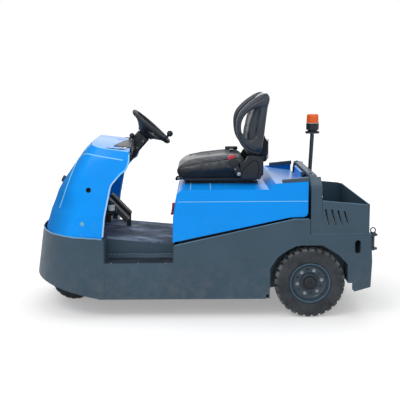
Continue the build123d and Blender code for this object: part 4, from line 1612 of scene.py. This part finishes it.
def solid_mesh(name, voxel, rounds, shape):
    """A voxel copy of a soft CAD solid with its corners rubbed round, then shaped."""
    bm = merged(name)
    bmesh.ops.recalc_face_normals(bm, faces=bm.faces)
    holder = linked(name + "_start", mesh_of(bm, name + "_start"))
    remesh = holder.modifiers.new("voxels", "REMESH")
    remesh.mode = "VOXEL"
    remesh.voxel_size = voxel
    bpy.context.view_layer.update()
    made = evaluated(holder)
    bm = bmesh.new()
    bm.from_mesh(made)
    rub(bm, rounds)
    for vert in bm.verts:
        vert.co = shape(vert.co)
    rub(bm, 3)
    bm.to_mesh(made)
    bm.free()
    return made


SWELL_FRAMES = 20


def inflate(mesh, cap):
    """Let cloth swell the cover, with each point's motion capped."""
    scene = bpy.context.scene
    holder = linked("swelling", mesh)
    cloth = holder.modifiers.new("cover", "CLOTH")
    cloth.settings.quality = 4
    cloth.settings.mass = 0.3
    cloth.settings.use_pressure = True
    cloth.settings.uniform_pressure_force = 4.0
    cloth.settings.effector_weights.gravity = 0.0
    cloth.settings.tension_stiffness = 12.0
    cloth.settings.bending_stiffness = 0.6
    cloth.collision_settings.use_collision = False
    cloth.point_cache.frame_start = 1
    cloth.point_cache.frame_end = SWELL_FRAMES
    for number in range(1, SWELL_FRAMES + 1):
        scene.frame_set(number)
    swollen = evaluated(holder)
    for vert, moved in zip(mesh.vertices, swollen.vertices):
        motion = moved.co - vert.co
        if motion.length > cap:
            motion = motion.normalized() * cap
        vert.co = vert.co + motion
    bpy.data.meshes.remove(swollen)
    scene.frame_set(1)
    bm = bmesh.new()
    bm.from_mesh(mesh)
    rub(bm, 8)
    bm.to_mesh(mesh)
    bm.free()


def distance_to(point, start, end):
    """Distance of a point from a straight run."""
    along = end - start
    share = max(0.0, min(1.0, (point - start).dot(along) / along.length_squared))
    return (point - start - along * share).length


def press_seam(mesh, line, depth, width):
    """Pull the cover in along a sewn line, given as points."""
    moved = []
    for vert in mesh.vertices:
        nearest = min(distance_to(vert.co, start, end) for start, end in zip(line, line[1:]))
        if nearest < width * 2.5:
            moved.append((vert, vert.normal * depth * math.exp(-((nearest / width) ** 2))))
    for vert, pull in moved:
        vert.co = vert.co - pull


def cover_points(mesh, points, direction, lift=0.0):
    """Lay points on a padded cover by a straight drop along a direction."""
    tree = tree_of(mesh)
    laid = []
    for point in points:
        spot, normal, _, _ = tree.ray_cast(Vector(point), Vector(direction))
        if spot is None:
            spot, normal, _, _ = tree.find_nearest(Vector(point))
        laid.append(spot + normal * lift)
    return laid


def side_points(mesh, points, side, lift=0.0):
    """Lay points in X and Z on one side of a padded cover."""
    return cover_points(mesh, [(x, side * 0.5, z) for x, z in points], (0, -side, 0), lift)


def piping(name, points):
    """A round sewn edge in the seat's own vinyl."""
    strand(name, points, sizes().piping_radius, "seat_vinyl", "seat", "seat_vinyl")


def soft_piece(mesh, name, stands_for):
    """A finished padded piece of the seat with one subdivision."""
    piece = set_up(mesh, name, "seat_vinyl", "seat", 80.0, 0.0)
    finer = piece.modifiers.new("finer", "SUBSURF")
    finer.levels = 1
    finer.render_levels = 1
    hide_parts(stands_for)


class TUG_OT_seat_cushion(bpy.types.Operator):
    """Padded cushion with raised side bolsters, sewn seams and piping"""

    bl_idname = "tug.seat_cushion"
    bl_label = "Seat cushion"

    # Seams on the cushion's sides in X and Z
    EDGE = (
        (-0.180, 0.866),
        (-0.146, 0.880),
        (-0.100, 0.889),
        (0.0, 0.905),
        (0.108, 0.919),
        (0.20, 0.924),
    )
    FOLD = ((0.072, 0.897), (0.102, 0.854), (0.127, 0.818))

    def execute(self, context):
        mesh = solid_mesh("seat_cushion", 0.006, 22, self.dish)
        inflate(mesh, 0.010)
        seam = sizes().seam_depth
        for side, word in NAMED_SIDES:
            press_seam(mesh, side_points(mesh, self.EDGE, side), seam, 0.006)
            bolster = [(x, side * 0.148, 1.1) for x in (-0.155, -0.12, -0.04, 0.05, 0.13, 0.20)]
            press_seam(mesh, cover_points(mesh, bolster, (0, 0, -1)), seam * 1.2, 0.008)
            press_seam(mesh, side_points(mesh, self.FOLD, side), seam * 0.7, 0.006)
            laid = side_points(mesh, between(self.EDGE, 20), side, 0.0006)
            piping(f"cushion_piping_{word}", laid)
        across = cover_points(mesh, [(-0.115, y, 1.1) for y in (-0.148, 0.0, 0.148)], (0, 0, -1))
        press_seam(mesh, across, seam * 1.2, 0.008)
        for x in (0.0, 0.10):
            groove = cover_points(mesh, [(x, y, 1.1) for y in (-0.13, 0.0, 0.13)], (0, 0, -1))
            press_seam(mesh, groove, seam, 0.007)
        soft_piece(mesh, "cushion_padded", "seat_cushion")
        return {"FINISHED"}

    def dish(self, spot):
        """Lower the middle of the seat between its bolsters and draw in the nose."""
        top = smooth_step(spot.z, 0.85, 0.905)
        middle = 1.0 - smooth_step(abs(spot.y), 0.105, 0.165)
        lengthwise = smooth_step(spot.x, -0.16, -0.05)
        nose = 1.0 - smooth_step(spot.x, -0.20, -0.05)
        drop = 0.020 * top * middle * lengthwise + 0.006 * nose * abs(spot.y / 0.228) ** 2
        pull = 1.0 - 0.035 * nose * smooth_step(abs(spot.y), 0.1, 0.22)
        forward = 0.010 * smooth_step(-spot.x, 0.05, 0.18)
        return Vector((spot.x - forward, spot.y * pull, spot.z - drop))


class TUG_OT_seat_back(bpy.types.Operator):
    """Padded backrest with a recessed middle panel and sewn channels"""

    bl_idname = "tug.seat_back"
    bl_label = "Seat back"

    def execute(self, context):
        mesh = solid_mesh("seat_backrest", 0.006, 6, self.shape)
        inflate(mesh, 0.004)
        seam = sizes().seam_depth
        for z in (1.02, 1.10, 1.18):
            groove = [(-0.1, y, z) for y in (-0.12, 0.0, 0.12)]
            press_seam(mesh, cover_points(mesh, groove, (1, 0, 0)), seam, 0.007)
        for side, word in NAMED_SIDES:
            edge = [(-0.1, side * 0.135, z) for z in (0.975, 1.04, 1.12, 1.20, 1.255)]
            press_seam(mesh, cover_points(mesh, edge, (1, 0, 0)), seam * 1.2, 0.008)
            piping(f"back_piping_{word}", cover_points(mesh, edge, (1, 0, 0)))
        soft_piece(mesh, "back_padded", "seat_backrest")
        return {"FINISHED"}

    def shape(self, spot):
        """Hollow the front of the back and round its top corners."""
        high = smooth_step(spot.z, 1.20, 1.32)
        middle = 1.0 - smooth_step(abs(spot.y), 0.09, 0.17)
        front_x = 0.226 + 0.12 * smooth_step(spot.z, 1.0, 1.32)
        front = 1.0 - smooth_step(spot.x - front_x, 0.0, 0.05)
        body = smooth_step(spot.z, 0.95, 1.02) * (1.0 - smooth_step(spot.z, 1.22, 1.29))
        corner = high * smooth_step(abs(spot.y), 0.10, 0.20)
        return Vector((spot.x + 0.016 * front * middle * body, spot.y, spot.z - 0.008 * corner))


class TUG_OT_seat_wings(bpy.types.Operator):
    """Looped side bolsters of the seat back with piping"""

    bl_idname = "tug.seat_wings"
    bl_label = "Seat wings"

    # The wing's sewn outer edge and the middle of its stuffed roll, in X and Z
    OUTER = (
        (0.300, 0.957),
        (0.262, 0.966),
        (0.230, 0.986),
        (0.204, 1.016),
        (0.186, 1.052),
        (0.179, 1.090),
        (0.178, 1.125),
        (0.184, 1.160),
        (0.200, 1.192),
        (0.228, 1.222),
        (0.262, 1.250),
        (0.300, 1.275),
        (0.335, 1.294),
    )
    TUBE = (
        (0.357, 1.266),
        (0.305, 1.251),
        (0.260, 1.237),
        (0.216, 1.208),
        (0.189, 1.171),
        (0.179, 1.133),
        (0.186, 1.096),
        (0.209, 1.066),
        (0.246, 1.036),
        (0.291, 1.006),
        (0.318, 0.991),
    )

    def roll(self, spot):
        """Let the outer face bulge over the stuffed roll and sink inside its loop."""
        flat = Vector((spot.x, spot.z))
        reach = min(
            distance_to(flat, Vector(first), Vector(second))
            for first, second in zip(self.TUBE, self.TUBE[1:])
        )
        outer = smooth_step(-spot.y, 0.185, 0.225)
        over = 1.0 - smooth_step(reach, 0.006, 0.034)
        return Vector((spot.x, spot.y + outer * (0.007 - 0.015 * over), spot.z))

    def execute(self, context):
        mesh = solid_mesh("seat_wing_left", 0.005, 14, self.roll)
        inflate(mesh, 0.006)
        press_seam(mesh, side_points(mesh, self.OUTER, -1), sizes().seam_depth, 0.006)
        laid = side_points(mesh, between(self.OUTER, 30), -1, 0.0004)
        bm = bmesh.new()
        bm.from_mesh(mesh)
        bmesh.ops.mirror(
            bm, geom=bm.verts[:] + bm.edges[:] + bm.faces[:], axis="Y", merge_dist=-1.0
        )
        near = [face for face in bm.faces if face.calc_center_median().y < 0]
        bmesh.ops.delete(bm, geom=near, context="FACES")
        bmesh.ops.recalc_face_normals(bm, faces=bm.faces)
        other = mesh_of(bm, "wing_right")
        soft_piece(mesh, "wing_padded_left", "seat_wing_left")
        soft_piece(other, "wing_padded_right", "seat_wing_right")
        piping("wing_piping_left", laid)
        piping("wing_piping_right", [Vector((spot.x, -spot.y, spot.z)) for spot in laid])
        return {"FINISHED"}


class TUG_OT_seat_hardware(bpy.types.Operator):
    """Seat pan, hinge covers, adjusting bar and document pouch"""

    bl_idname = "tug.seat_hardware"
    bl_label = "Seat hardware"

    # The groove round a hinge cover and the adjusting bar, each in X and Z
    ARCH = (
        (0.196, 0.836),
        (0.210, 0.868),
        (0.236, 0.886),
        (0.262, 0.918),
        (0.288, 0.912),
        (0.300, 0.880),
        (0.297, 0.836),
        (0.292, 0.806),
    )
    BAR = (
        (-0.110, 0.782),
        (-0.135, 0.783),
        (-0.158, 0.792),
        (-0.181, 0.806),
        (-0.194, 0.808),
        (-0.203, 0.797),
    )

    def execute(self, context):
        shell_of("seat_frame", "moulded_plastic", 0.002)
        for side, word in NAMED_SIDES:
            shell_of(f"seat_hinge_cover_{word}", "moulded_plastic", 0.002)
            # The groove round each hinge cover is a black strand of painted shade.
            line = [Vector((x, side * 0.2562, z)) for x, z in self.ARCH]
            strand(f"hinge_cover_groove_{word}", line, 0.0018, "shade_black", "seat", "black_plastic")
        shell_of("document_pouch", "pouch_cloth", 0.004)
        bm = bmesh.new()
        block(bm, (0.3655, -0.120, 1.000), (0.3685, 0.120, 1.004))
        for y in (-0.122, 0.122):
            block(bm, (0.362, y - 0.004, 0.908), (0.3672, y + 0.004, 1.034))
        round_edges(bm, 0.001, 1)
        place(bm, "pouch_binding", "pouch_cloth", "seat", "black_plastic")
        line = [Vector((x, -0.150, z)) for x, z in self.BAR] + [Vector((-0.204, -0.112, 0.784))]
        strand("adjust_bar", line, 0.0055, "chassis_paint", "seat", "black_plastic")
        bolts = bmesh.new()
        for side in SIDES:
            hex_bolt(bolts, (0.178, side * 0.2575, 0.835), (0, side, 0), 0.013, 0.008)
            for x in (-0.10, 0.24):
                hex_bolt(bolts, (x, side * 0.128, 0.7712), (0, 0, 1), 0.009, 0.004)
        place(bolts, "seat_bolts", "zinc_steel", "seat", "bright_steel")
        return {"FINISHED"}


class TUG_OT_seat_belt(bpy.types.Operator):
    """Red-topped buckle on its stalk, webbing and tongue on the far side"""

    bl_idname = "tug.seat_belt"
    bl_label = "Seat belt"

    def execute(self, context):
        lean = Vector((-0.046, 0, 0.104)).normalized()
        foot = Vector((0.178, -0.2700, 0.836))
        across = Vector((0, 1, 0))
        turn = axes(lean.cross(across), across, lean)
        stalk, case, button = bmesh.new(), bmesh.new(), bmesh.new()
        self.slab(stalk, foot + lean * 0.032, turn, (0.034, 0.004, 0.066), 0.001)
        self.slab(case, foot + lean * 0.076, turn, (0.046, 0.021, 0.052), 0.005)
        self.slab(button, foot + lean * 0.1105, turn, (0.043, 0.019, 0.022), 0.004)
        rod(stalk, foot + Vector((0, 0.004, 0)), foot - Vector((0, 0.006, 0)), 0.017, 0.015, 32)
        piece = place(case, "buckle_case", "moulded_plastic", "seat", "black_plastic")
        place(stalk, "buckle_stalk", "chassis_paint", "seat", "black_plastic")
        place(button, "buckle_button", "red_plastic", "seat", "buckle_red")
        bolt = bmesh.new()
        hex_bolt(bolt, foot - Vector((0, 0.006, 0)), (0, -1, 0), 0.014, 0.007)
        hex_bolt(bolt, foot + Vector((-0.022, -0.002, 0.028)), (0, -1, 0), 0.007, 0.004, washer=False)
        place(bolt, "buckle_bolt", "zinc_steel", "seat", "bright_steel")
        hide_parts("belt_buckle")
        self.make_reel()
        return {"FINISHED"}

    def slab(self, bm, centre, turn, size, soft):
        """A box with softly rounded edges, added to a piece."""
        part = bmesh.new()
        brick(part, centre, size, turn)
        round_edges(part, soft, 2)
        mesh = mesh_of(part, "slab")
        bm.from_mesh(mesh)
        bpy.data.meshes.remove(mesh)

    # Middle of the webbing, from the reel over the cushion's edge to the tongue
    WEB_PATH = (
        (0.178, 0.272, 0.868),
        (0.170, 0.264, 0.905),
        (0.162, 0.244, 0.934),
        (0.156, 0.215, 0.9475),
        (0.150, 0.185, 0.949),
    )
    WEB_WIDTH = 0.047
    WEB_THICKNESS = 0.0014

    def make_reel(self):
        """The reel on the far side with webbing lying over the cushion to its tongue."""
        reel, web, grip, plate = (bmesh.new() for _ in range(4))
        upright = Matrix.Identity(4)
        self.slab(reel, (0.190, 0.276, 0.842), upright, (0.070, 0.036, 0.072), 0.008)
        rod(reel, (0.190, 0.262, 0.842), (0.190, 0.2965, 0.842), 0.027, 0.025, 32)
        place(reel, "belt_reel", "moulded_plastic", "seat", "black_plastic")
        runs = len(self.WEB_PATH) - 1
        bmesh.ops.create_grid(web, x_segments=1, y_segments=runs, size=0.5)
        for vert in web.verts:
            x, y, z = self.WEB_PATH[round((vert.co.y + 0.5) * runs)]
            vert.co = Vector((x + self.WEB_WIDTH * vert.co.x, y, z))
        bmesh.ops.subdivide_edges(
            web, edges=web.edges[:], cuts=2, use_grid_fill=True, smooth=0.6
        )
        bmesh.ops.recalc_face_normals(web, faces=web.faces)
        bmesh.ops.solidify(web, geom=web.faces[:], thickness=self.WEB_THICKNESS)
        place(web, "belt_webbing", "belt_web", "seat", "black_plastic", smooth=60)
        lean = Matrix.Rotation(0.1, 4, "X")
        self.slab(grip, (0.150, 0.182, 0.951), lean, (0.082, 0.040, 0.020), 0.006)
        place(grip, "belt_tongue_grip", "moulded_plastic", "seat", "black_plastic")
        lean = Matrix.Rotation(0.14, 4, "X")
        self.slab(plate, (0.150, 0.150, 0.946), lean, (0.026, 0.036, 0.0022), 0.0008)
        place(plate, "belt_tongue_plate", "zinc_steel", "seat", "bright_steel")


# Controls, lamp, hitch and stage

COLUMN_FOOT = Vector((-0.403, 0, 1.057))
COLUMN_AXIS = Vector((0.671, 0, 0.7415)).normalized()
COLUMN_UP = Vector((-0.7415, 0, 0.671)).normalized()


def column_point(along, out=0.0, across=0.0):
    """A point by distance along the steering column, out from it and across."""
    return COLUMN_FOOT + COLUMN_AXIS * along + COLUMN_UP * out + Vector((0, across, 0))


class TUG_OT_steering(bpy.types.Operator):
    """Steering wheel with finger grips and horn cap, spinner knob and column"""

    bl_idname = "tug.steering"
    bl_label = "Steering"

    # Turned sections, out along the column's axis and away from it
    HORN = (
        (0.0, 0.0),
        (0.0, 0.0275),
        (0.004, 0.0272),
        (0.0085, 0.0235),
        (0.0105, 0.016),
        (0.0112, 0.0),
    )
    COLLAR = (
        (-0.004, 0.0),
        (-0.012, 0.030),
        (-0.012, 0.040),
        (-0.006, 0.041),
        (-0.002, 0.036),
        (-0.0015, 0.0),
    )
    RIM = (
        (-0.002, 0.018),
        (-0.002, 0.025),
        (0.005, 0.0245),
        (0.007, 0.022),
        (0.004, 0.0195),
        (0.001, 0.018),
    )
    DIAL = ((-0.001, 0.0), (-0.001, 0.0195), (0.0032, 0.0192), (0.0038, 0.0))
    LOCK = ((-0.002, 0.0), (-0.002, 0.015), (0.003, 0.0148), (0.005, 0.012), (0.005, 0.0))
    STOP = (
        (-0.002, 0.0),
        (-0.002, 0.008),
        (0.006, 0.008),
        (0.007, 0.0145),
        (0.011, 0.0155),
        (0.015, 0.013),
        (0.0165, 0.0),
    )
    GRIPS = 36

    def execute(self, context):
        shell_of("steering_wheel", "soft_grip", 0.0015)
        shell_of("steering_knob", "soft_grip", 0.0)
        shell_of("steering_column", "moulded_plastic", 0.003)
        shell_of("direction_lever", "moulded_plastic", 0.0)
        naming = ("horn_cap", "moulded_plastic", "steering_wheel", "black_plastic")
        turned_piece(self.HORN, column_point(0.0395), COLUMN_AXIS, 40, *naming)
        self.make_grips()
        self.make_column()
        return {"FINISHED"}

    def make_grips(self):
        """Finger grips round the rim of the steering wheel."""
        grips = bmesh.new()
        centre = column_point(0.065)
        for number in range(self.GRIPS):
            angle = math.tau * number / self.GRIPS
            out = COLUMN_UP * math.cos(angle) + Vector((0, 1, 0)) * math.sin(angle)
            spot = centre + out * 0.140 - COLUMN_AXIS * 0.0080
            ball(grips, spot, 0.0074, (1, 1, 1), 8, 6)
        naming = ("wheel_finger_grips", "soft_grip", "steering_wheel", "black_rubber")
        place(grips, *naming, smooth=80, weld=0)

    def make_column(self):
        """Collar, boot, seams, screws and console of the column."""
        plastic = ("chassis", "black_plastic")
        foot = column_point(0.0)
        naming = ("column_collar", "moulded_plastic", *plastic)
        turned_piece(self.COLLAR, foot, COLUMN_AXIS, 40, *naming)
        boot, screws = bmesh.new(), bmesh.new()
        for along, wide in ((-0.137, 0.100), (-0.125, 0.097), (-0.114, 0.094)):
            brick(boot, column_point(along), (wide, wide, 0.010), turned(COLUMN_AXIS))
        place(boot, "column_boot", "soft_grip", "chassis", "black_rubber", edge=0.004, weld=0)
        # The seams along the column are black strands of painted shade.
        for side, word in NAMED_SIDES:
            run = (-0.225, -0.16, -0.10, -0.02)
            seam = [column_point(along, 0.0, side * 0.0441) for along in run]
            strand(f"column_seam_{word}", seam, 0.0012, "shade_black", *plastic, order=2)
        for side in SIDES:
            for along in (-0.09, -0.035):
                ends = [column_point(along, -0.022, side * across) for across in (0.0430, 0.0450)]
                rod(screws, *ends, 0.0042, 0.0038, 16)
        place(screws, "column_screws", "zinc_steel", "chassis", "bright_steel")
        self.make_console()

    def make_console(self):
        """Round gauge, key switch and stop button on the console's upper face."""
        face = -0.144
        gauge = column_point(face, -0.004, -0.080)
        naming = ("gauge_rim", "zinc_steel", "chassis", "bright_steel")
        turned_piece(self.RIM, gauge, COLUMN_AXIS, 40, *naming)
        naming = ("gauge_face", "pale_plastic", "chassis", "black_plastic")
        turned_piece(self.DIAL, gauge, COLUMN_AXIS, 32, *naming)
        hand, key = bmesh.new(), bmesh.new()
        pivot = gauge + COLUMN_AXIS * 0.0042
        rod(hand, pivot, pivot + COLUMN_AXIS * 0.0004 + COLUMN_UP * 0.013, 0.0009, 0.0004, 8)
        place(hand, "gauge_hand", "red_plastic", "chassis", "handle_red")
        lock = column_point(face, 0.0, 0.075)
        lathe(key, self.LOCK, lock, COLUMN_AXIS, 32)
        brick(key, lock + COLUMN_AXIS * 0.014, (0.0025, 0.013, 0.022), turned(COLUMN_AXIS))
        place(key, "key_switch", "zinc_steel", "chassis", "bright_steel")
        naming = ("stop_button", "red_plastic", "chassis", "handle_red")
        turned_piece(self.STOP, column_point(face, 0.026, 0.100), COLUMN_AXIS, 32, *naming)


class TUG_OT_pedals(bpy.types.Operator):
    """Ribbed pedal pads and the brake fluid cup"""

    bl_idname = "tug.pedals"
    bl_label = "Pedals"

    # Each pedal with its sides in Y
    PADS = (("brake_pedal", -0.120, -0.050), ("accelerator_pedal", 0.070, 0.150))
    PAD_RIBS = 13

    def execute(self, context):
        slope = Vector((0.125, 0, -0.131)).normalized()
        face = Vector((0.131, 0, 0.125)).normalized()
        across = Vector((0, 1, 0))
        for name, low, high in self.PADS:
            shell_of(name, "chassis_paint", 0.0015)
            pad = bmesh.new()
            wide = high - low - 0.006
            top = Vector((-0.628, (low + high) / 2, 0.665)) + face * 0.0021
            for number in range(self.PAD_RIBS):
                spot = top + slope * (0.012 + 0.013 * number)
                brick(pad, spot, (wide, 0.007, 0.004), axes(across, slope, across.cross(slope)))
            round_edges(pad, 0.0008, 1)
            place(pad, name + "_pad", "soft_grip", "chassis", "black_rubber", weld=0)
        cup, lid = bmesh.new(), bmesh.new()
        foot, rim, top = (Vector((-0.602, -0.178, z)) for z in (0.602, 0.640, 0.650))
        rod(cup, foot, rim, 0.020, 0.022, 32)
        rod(lid, rim, top, 0.0225, 0.0205, 32)
        place(cup, "fluid_cup", "pale_plastic", "chassis", "black_plastic", edge=0.0015)
        place(lid, "fluid_cup_lid", "moulded_plastic", "chassis", "black_plastic", edge=0.0015)
        return {"FINISHED"}


POLE_X = 0.654


class TUG_OT_beacon(bpy.types.Operator):
    """Fluted amber lens on a clear ring and its black base"""

    bl_idname = "tug.beacon"
    bl_label = "Beacon"

    # The lens as height and share of its width, and turned sections as height and reach
    LENS_FOOT, LENS_RADIUS = 1.122, 0.0365
    LENS = (
        (1.126, 1.0),
        (1.146, 0.995),
        (1.164, 0.985),
        (1.172, 0.945),
        (1.1765, 0.86),
        (1.178, 0.70),
        (1.178, 0.30),
    )
    CLEAR_RING = (
        (1.1192, 0.0),
        (1.1192, 0.0405),
        (1.1215, 0.0412),
        (1.1235, 0.0405),
        (1.1235, 0.0),
    )
    GASKET = (
        (1.0655, 0.0),
        (1.0655, 0.043),
        (1.068, 0.0435),
        (1.070, 0.041),
        (1.071, 0.034),
        (1.071, 0.0),
    )

    def execute(self, context):
        shell_of("beacon_base", "moulded_plastic", 0.002)
        bm = bmesh.new()
        foot = Vector((POLE_X, 0, self.LENS_FOOT))
        bmesh.ops.create_circle(
            bm, segments=96, radius=self.LENS_RADIUS, matrix=Matrix.Translation(foot)
        )
        for number, vert in enumerate(bm.verts):
            flute = 0.022 if number % 4 in (1, 2) else -0.012
            vert.co = foot + (vert.co - foot) * (1.0 + flute)
        edges = bm.edges[:]
        last = 1.0
        for z, scale in self.LENS:
            made = bmesh.ops.extrude_edge_only(bm, edges=edges)
            edges = new_items(made, bmesh.types.BMEdge)
            for vert in new_items(made, bmesh.types.BMVert):
                reach = scale / last
                x = POLE_X + (vert.co.x - POLE_X) * reach
                vert.co = Vector((x, vert.co.y * reach, z))
            last = scale
        bmesh.ops.contextual_create(bm, geom=edges)
        rim = [edge for edge in bm.edges if edge.is_boundary]
        bmesh.ops.contextual_create(bm, geom=rim)
        piece = place(bm, "beacon_lens_fluted", "amber_glass", "chassis", "amber_lens", smooth=50)
        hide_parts("beacon_lens")
        pole, up = Vector((POLE_X, 0, 0)), Vector((0, 0, 1))
        naming = ("beacon_clear_ring", "clear_plastic", "chassis", "black_plastic")
        turned_piece(self.CLEAR_RING, pole, up, 56, *naming)
        naming = ("beacon_gasket", "soft_grip", "chassis", "black_rubber")
        turned_piece(self.GASKET, pole, up, 56, *naming)
        bolts = bmesh.new()
        for turn in range(3):
            angle = math.radians(30 + 120 * turn)
            spot = (POLE_X + 0.0385 * math.cos(angle), 0.0385 * math.sin(angle), 1.0572)
            hex_bolt(bolts, spot, (0, 0, -1), 0.006, 0.006, washer=False)
        for side in SIDES:
            hex_bolt(bolts, (0.632, side * 0.0205, 0.786), (0, side, 0), 0.010, 0.006)
        place(bolts, "pole_bolts", "zinc_steel", "chassis", "bright_steel")
        return {"FINISHED"}


class TUG_OT_hitch(bpy.types.Operator):
    """Tow pin, plate bolts and weld beads of the jaw"""

    bl_idname = "tug.hitch"
    bl_label = "Hitch"

    def execute(self, context):
        shell_of("tow_pin", "dark_steel", 0.001)
        bm = bmesh.new()
        for y in (-0.056, 0.056):
            for z in (0.280, 0.412):
                hex_bolt(bm, (0.962, y, z), (1, 0, 0), 0.018, 0.010)
        place(bm, "hitch_bolts", "zinc_steel", "chassis", "bright_steel")
        for number, z in enumerate((0.4092, 0.3972, 0.3192, 0.3068)):
            line = [Vector((0.9635, y, z)) for y in (-0.029, -0.01, 0.01, 0.029)]
            strand(f"hitch_weld_{number}", line, 0.0028, "slate_paint", "chassis", "body_grey", order=2)
        return {"FINISHED"}


class TUG_OT_stage(bpy.types.Operator):
    """Pale floor, soft studio light and the camera"""

    bl_idname = "tug.stage"
    bl_label = "Stage"

    def execute(self, context):
        self.make_floor()
        self.make_world()
        self.make_lamps()
        self.make_camera()
        return {"FINISHED"}

    def make_floor(self):
        """A white floor that glows out to the backdrop."""
        bm = bmesh.new()
        below = Matrix.Translation((0, 0, -0.0004))
        bmesh.ops.create_grid(bm, x_segments=1, y_segments=1, size=30.0, matrix=below)
        floor = linked("floor", mesh_of(bm, "floor"))
        material, tree, shader = new_finish("floor_white", Roughness=0.9, Specular_IOR_Level=0.0)
        point = object_point(tree)
        tone = spread(tree, noise(tree, point, 0.6), 0.3, 0.7)
        colour = blend_colours(tree, tone, (0.84, 0.84, 0.84, 1.0), (0.86, 0.86, 0.86, 1.0))
        tree.links.new(colour, shader.inputs["Base Color"])
        away = node(tree, "ShaderNodeVectorMath", operation="LENGTH")
        tree.links.new(point, away.inputs[0])
        seen = self.seen_rays(tree, 0.35)
        glow = spread(tree, away.outputs["Value"], 1.3, 3.6, NEAR_GLOW, FAR_GLOW)
        shader.inputs["Emission Color"].default_value = WHITE
        tree.links.new(product(tree, seen, glow), shader.inputs["Emission Strength"])
        floor.data.materials.append(material)

    def seen_rays(self, tree, mirrored=1.0):
        """One for rays from the camera and those that mirror or pass to it."""
        path = node(tree, "ShaderNodeLightPath")
        seen = work(tree, "MAXIMUM", path.outputs["Is Camera Ray"], path.outputs["Is Transmission Ray"])
        glossy = product(tree, path.outputs["Is Glossy Ray"], mirrored)
        return work(tree, "MAXIMUM", seen, glossy)

    def make_world(self):
        """An even white studio, brighter where the camera sees it."""
        world = bpy.data.worlds.new("studio")
        bpy.context.scene.world = world
        world.use_nodes = True
        tree = world.node_tree
        tree.nodes.clear()
        out = node(tree, "ShaderNodeOutputWorld")
        seen = self.seen_rays(tree)
        strength = work(tree, "ADD", product(tree, seen, 1.0 - WORLD_LIGHT), WORLD_LIGHT)
        back = node(tree, "ShaderNodeBackground")
        back.inputs["Color"].default_value = WHITE
        tree.links.new(strength, back.inputs["Strength"])
        tree.links.new(back.outputs["Background"], out.inputs["Surface"])

    def make_lamps(self):
        for name, place_at, target, size, power, mirrored in LAMPS:
            light = bpy.data.lights.new(name, "AREA")
            light.shape = "RECTANGLE"
            light.size, light.size_y = size
            light.energy = power
            lamp = linked(name, light)
            lamp.visible_glossy = mirrored
            lamp.visible_camera = False
            aim = (Vector(target) - Vector(place_at)).to_track_quat("-Z", "Y")
            lamp.matrix_world = Matrix.Translation(place_at) @ aim.to_matrix().to_4x4()

    def make_camera(self):
        data = bpy.data.cameras.new("camera")
        data.sensor_width = 36.0
        data.lens = CAMERA_LENS
        data.clip_start, data.clip_end = 0.1, 100.0
        camera = linked("camera", data)
        camera.matrix_world = Matrix.Translation(CAMERA_AT) @ axes(*CAMERA_AXES)
        bpy.context.scene.camera = camera
        bpy.context.scene.view_settings.view_transform = "Standard"


WHITE = (1.0, 1.0, 1.0, 1.0)
WORLD_LIGHT = 0.62
NEAR_GLOW = 0.30
FAR_GLOW = 0.56

# Each lamp's name, place, aim, size, power and whether gloss mirrors it
LAMPS = (
    ("key", (-2.2, -3.4, 4.2), (0.0, 0.0, 0.5), (2.6, 2.0), 70.0, True),
    ("top", (0.4, 0.6, 4.6), (0.0, 0.0, 0.4), (4.0, 3.0), 50.0, True),
    ("fill", (-0.5, -6.2, 2.4), (0.0, 0.0, 0.5), (5.0, 3.0), 45.0, False),
    ("back", (-0.1, 6.6, 4.0), (0.0, 0.0, 0.8), (5.6, 3.2), 52.0, True),
)

CAMERA_LENS = 69.2167
CAMERA_AT = (-0.05107, -4.85217, 1.41743)

# The camera's right, up and back
CAMERA_AXES = (
    (0.99998082, 0.00010395, -0.00619299),
    (0.00609739, 0.15925414, 0.98721879),
    (0.00108888, -0.98723761, 0.15925045),
)

OPERATORS = (
    TUG_OT_panels,
    TUG_OT_chassis,
    TUG_OT_cowl_trim,
    TUG_OT_hood_trim,
    TUG_OT_bin_trim,
    TUG_OT_skirt_trim,
    TUG_OT_floor_mat,
    TUG_OT_tyres,
    TUG_OT_rims,
    TUG_OT_seat_cushion,
    TUG_OT_seat_back,
    TUG_OT_seat_wings,
    TUG_OT_seat_hardware,
    TUG_OT_seat_belt,
    TUG_OT_steering,
    TUG_OT_pedals,
    TUG_OT_beacon,
    TUG_OT_hitch,
    TUG_OT_stage,
)


class TUG_PT_dressing(bpy.types.Panel):
    """Lists the tug's pieces and their sizes and colours"""

    bl_idname = "TUG_PT_dressing"
    bl_label = "Baggage tug"
    bl_space_type = "VIEW_3D"
    bl_region_type = "UI"
    bl_category = "Tug"

    def draw(self, context):
        column = self.layout.column()
        for operator in OPERATORS:
            column.operator(operator.bl_idname)
        for group in (context.scene.tug_sizes, context.scene.tug_colours):
            box = self.layout.box()
            for name in group.__annotations__:
                box.prop(group, name)


CLASSES = (TugColours, TugSizes, *OPERATORS, TUG_PT_dressing)


def register():
    for item in CLASSES:
        bpy.utils.register_class(item)
    bpy.types.Scene.tug_colours = bpy.props.PointerProperty(type=TugColours)
    bpy.types.Scene.tug_sizes = bpy.props.PointerProperty(type=TugSizes)


def unregister():
    del bpy.types.Scene.tug_sizes
    del bpy.types.Scene.tug_colours
    for item in reversed(CLASSES):
        bpy.utils.unregister_class(item)


def main():
    register()
    for operator in OPERATORS:
        getattr(bpy.ops.tug, operator.bl_idname.split(".")[1])()


if __name__ == "__main__":
    main()
